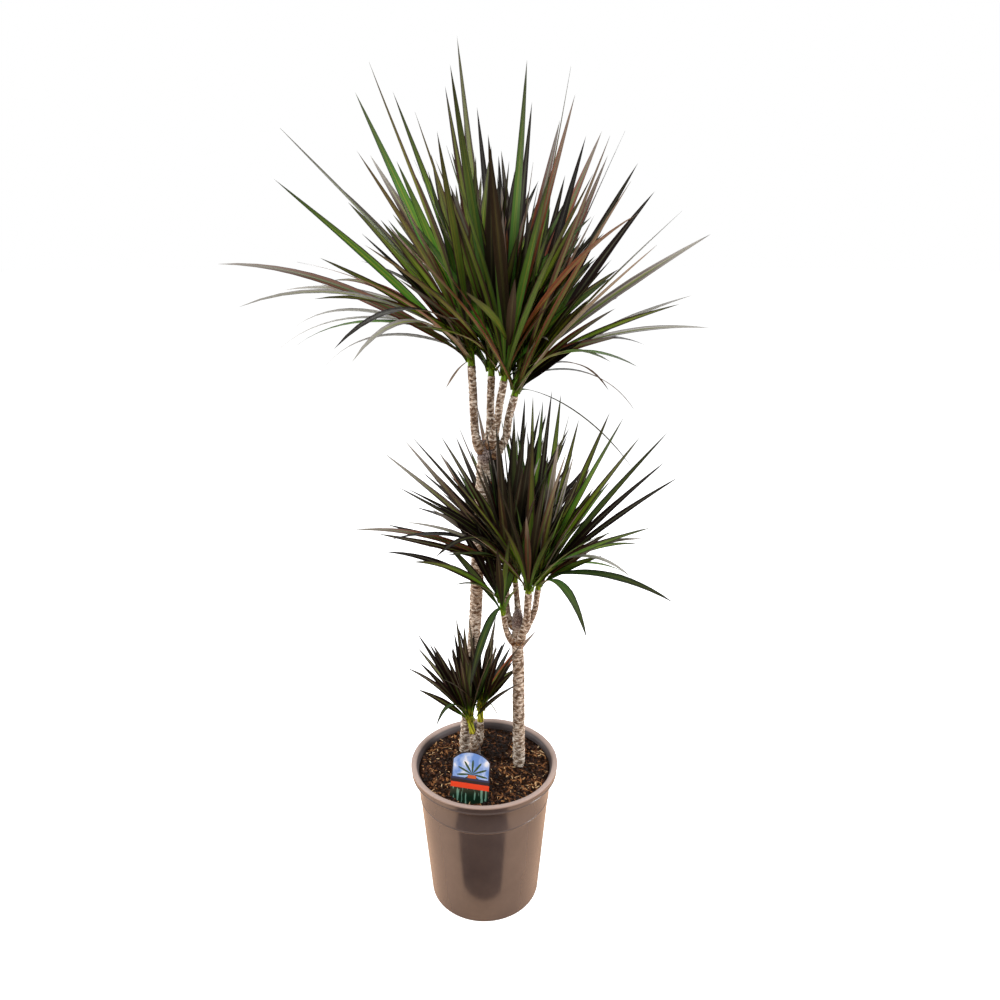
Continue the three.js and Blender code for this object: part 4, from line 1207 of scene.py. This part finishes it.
def make_chips(material):
    """Shreds of bark and fibre strewn on the soil, seeded. Each is a stretched twenty-sided crumb."""
    rng = np.random.default_rng(CHIP_SEED)
    bm = bmesh.new()
    bmesh.ops.create_icosphere(bm, subdivisions=1, radius=1.0)
    template = to_mesh("crumb", bm)
    shape = np.array([v.co for v in template.vertices])
    feet = [seen(*cane["route"][0])[:2] for cane in CANES]
    places, tones = [], []
    while len(places) < CHIPS:
        radius, bearing = STREWN * math.sqrt(rng.random()), rng.random() * 2 * math.pi
        x, y = radius * math.cos(bearing), radius * math.sin(bearing)
        if any(math.hypot(x - fx, y - fy) < CLEAR_OF_CANES for fx, fy in feet):
            continue
        kind = rng.random()
        # Damp patches are darker than dry ones.
        dry = 0.5 + 1.3 * noise.noise(Vector((x * 0.03, y * 0.03, 7.7)))
        _, sizes, tone_range, paler = next(row for row in CHIP_KINDS if kind < row[0])
        size = np.array([rng.uniform(*limits) for limits in sizes])
        tone = rng.uniform(*tone_range) + paler * dry
        lump = shape * (1 + 0.25 * rng.standard_normal(shape.shape)) * size
        turn = Matrix.Rotation(rng.random() * 2 * math.pi, 3, "Z")
        turn = turn @ Matrix.Rotation(rng.normal(0, 0.35), 3, "Y")
        level = SOIL["level"] + SOIL["crown"] * (1 - (radius / LEVEL_EDGE) ** 2) + soil_height(x, y)
        places.append(lump @ np.array(turn).T + [x, y, level + rng.uniform(-0.2, 0.9)])
        tones += [tone] * len(shape)
    mesh = repeat_shape("bark_chips", template, CHIPS)
    mesh.vertices.foreach_set("co", (np.concatenate(places) * MM).ravel())
    set_values(mesh, "tone", tones)
    mesh.update()
    bpy.data.meshes.remove(template)
    add_piece(mesh, material, "potting_mix")


# ---------------------------------------------------------------- label

ARCH_STEPS = 25
HIP = 10  # height at which the label reaches its full width
SPIKE_TIP = 1.5  # half the width of the spike's end


def make_label(material):
    half, rise, neck = LABEL["width"] / 2, LABEL["arch"], LABEL["neck"] / 2
    radius = arch_radius()
    sweep = math.asin(half / radius)
    centre = LABEL["shoulder"] + rise - radius
    angles = np.linspace(-sweep, sweep, ARCH_STEPS)
    arc = [(radius * math.sin(a), centre + radius * math.cos(a)) for a in angles]
    spike = [(SPIKE_TIP, -LABEL["spike"]), (-SPIKE_TIP, -LABEL["spike"])]
    outline = [(-neck, 0), (-half, HIP), *arc, (half, HIP), (neck, 0), *spike]
    bm = bmesh.new()
    layer = bm.loops.layers.uv.new("print")
    face = bm.faces.new([bm.verts.new((x, -LABEL["thick"] / 2, z)) for x, z in outline])
    grown = bmesh.ops.extrude_face_region(bm, geom=[face])["geom"]
    pushed = [v for v in grown if isinstance(v, bmesh.types.BMVert)]
    bmesh.ops.translate(bm, verts=pushed, vec=(0, LABEL["thick"], 0))
    bmesh.ops.recalc_face_normals(bm, faces=bm.faces[:])
    tall = LABEL["shoulder"] + rise
    for side in bm.faces:
        for loop in side.loops:
            loop[layer].uv = (loop.vert.co.x / LABEL["width"] + 0.5, loop.vert.co.z / tall)
    turn = (
        Matrix.Translation((LABEL_FOOT[0] * MM, LABEL_FOOT[1] * MM, SOIL["level"] * MM))
        @ Matrix.Rotation(math.radians(LABEL_TURN["yaw"]), 4, "Z")
        @ Matrix.Rotation(math.radians(-LABEL_TURN["lean"]), 4, "X")
        @ Matrix.Rotation(math.radians(-LABEL_TURN["roll"]), 4, "Y")
        @ Matrix.Scale(MM, 4)
    )
    bmesh.ops.transform(bm, matrix=turn, verts=bm.verts[:])
    add_piece(to_mesh("plant_label", bm), material, "label_card", "label")


# ---------------------------------------------------------------- camera, floor and light

SENSOR = 36
FLOOR_RADIUS = 30
# The corners of a black flag that lies on the paper in front of the pot, and its height, in millimetres.
FLAG = [(-60, -104), (44, -104), (420, -460), (-540, -460)]
FLAG_HEIGHT = 1.5
SURROUND = {"light": 0.2, "seen": 1.0}  # how bright the white past the floor is, as a light and to the camera
# Each lamp: its place, its width and height, its power and the point that it faces, in metres and watts.
SOFTBOXES = [
    ("softbox_left", (-1.8, 0.1, 1.1), (1.0, 1.8), 40, (0, 0, 0.6)),
    ("softbox_right", (1.7, -0.3, 1.0), (0.7, 1.8), 39, (0, 0, 0.5)),
    ("softbox_key", (-0.7, -1.7, 2.3), (0.9, 0.9), 44, (0, 0, 0.7)),
    ("softbox_back", (0.2, 1.9, 1.7), (2.6, 1.2), 30, (0, 0, 0.6)),
]


def make_studio():
    camera = bpy.data.cameras.new("camera")
    camera.sensor_width = SENSOR
    camera.lens = SENSOR * FOCAL / 1000  # the photograph is 1000 pixels wide
    camera.clip_end = 100
    eye = add_object("camera", camera)
    eye.location = EYE * MM
    eye.rotation_euler = (math.pi / 2 - PITCH, 0, 0)
    bpy.context.scene.camera = eye

    bm = bmesh.new()
    bmesh.ops.create_circle(bm, cap_ends=True, segments=96, radius=FLOOR_RADIUS)
    mesh = to_mesh("studio_floor", bm)
    mesh.materials.append(make_material(studio_paper))
    add_object("studio_floor", mesh)

    # Only the flag's reflection in the gloss is seen.
    bm = bmesh.new()
    bm.faces.new([bm.verts.new((x * MM, y * MM, FLAG_HEIGHT * MM)) for x, y in FLAG])
    mesh = to_mesh("black_flag", bm)
    mesh.materials.append(make_material(flag_felt))
    flag = add_object("black_flag", mesh)
    for ray in ("camera", "diffuse", "shadow", "transmission"):
        setattr(flag, "visible_" + ray, False)

    world = bpy.data.worlds.new("studio")
    add = emptied(world)
    white = {"Color": (1, 1, 1, 1)}
    dim = add("Background", **white, Strength=SURROUND["light"])
    bright = add("Background", **white, Strength=SURROUND["seen"])
    add("OutputWorld", add("MixShader", add("LightPath"), dim, bright))
    bpy.context.scene.world = world

    for name, place, size, power, aim in SOFTBOXES:
        light = bpy.data.lights.new(name, "AREA")
        light.shape = "RECTANGLE"
        light.size, light.size_y = size
        light.energy = power
        lamp = add_object(name, light)
        lamp.location = place
        lamp.visible_camera = False
        lamp.rotation_euler = (Vector(aim) - Vector(place)).to_track_quat("-Z", "Y").to_euler()
    bpy.context.scene.view_settings.view_transform = "Standard"


# ---------------------------------------------------------------- the plant

COLOUR_SEED = 11
# How far chance takes a leaf's tone and green from its colour's, and the range of its width.
TONE_CHANCE, GREEN_CHANCE = 0.06, 0.1
LEAF_WIDTHS = (0.8, 1.02)

make_studio()
leaf, bark = make_material(dracaena_leaf), make_material(cane_bark)
rng = np.random.default_rng(COLOUR_SEED)
grown = grow_crowns()
for cane, crown in zip(CANES, CROWNS):
    growth = grown[crown["name"]]
    for blade in growth["leaves"]:
        colours = blade["head"]["colours"]
        tone, green = LEAF_COLOURS[blade.get("colour") or colours[rng.integers(len(colours))]]
        blade["tone"] = tone + float(rng.uniform(-TONE_CHANCE, TONE_CHANCE))
        blade["green"] = green + float(rng.uniform(-GREEN_CHANCE, GREEN_CHANCE))
        blade["wide"] = float(rng.uniform(*LEAF_WIDTHS)) * blade.get("share", 1)
    make_cane(cane, bark)
    make_leaves(crown, growth["leaves"], leaf)
    make_shoots(crown, growth["heads"], leaf)
make_pot(make_material(pot_polypropylene))
make_soil(make_material(potting_mix))
make_chips(make_material(bark_chips))
make_label(make_material(printed_card))
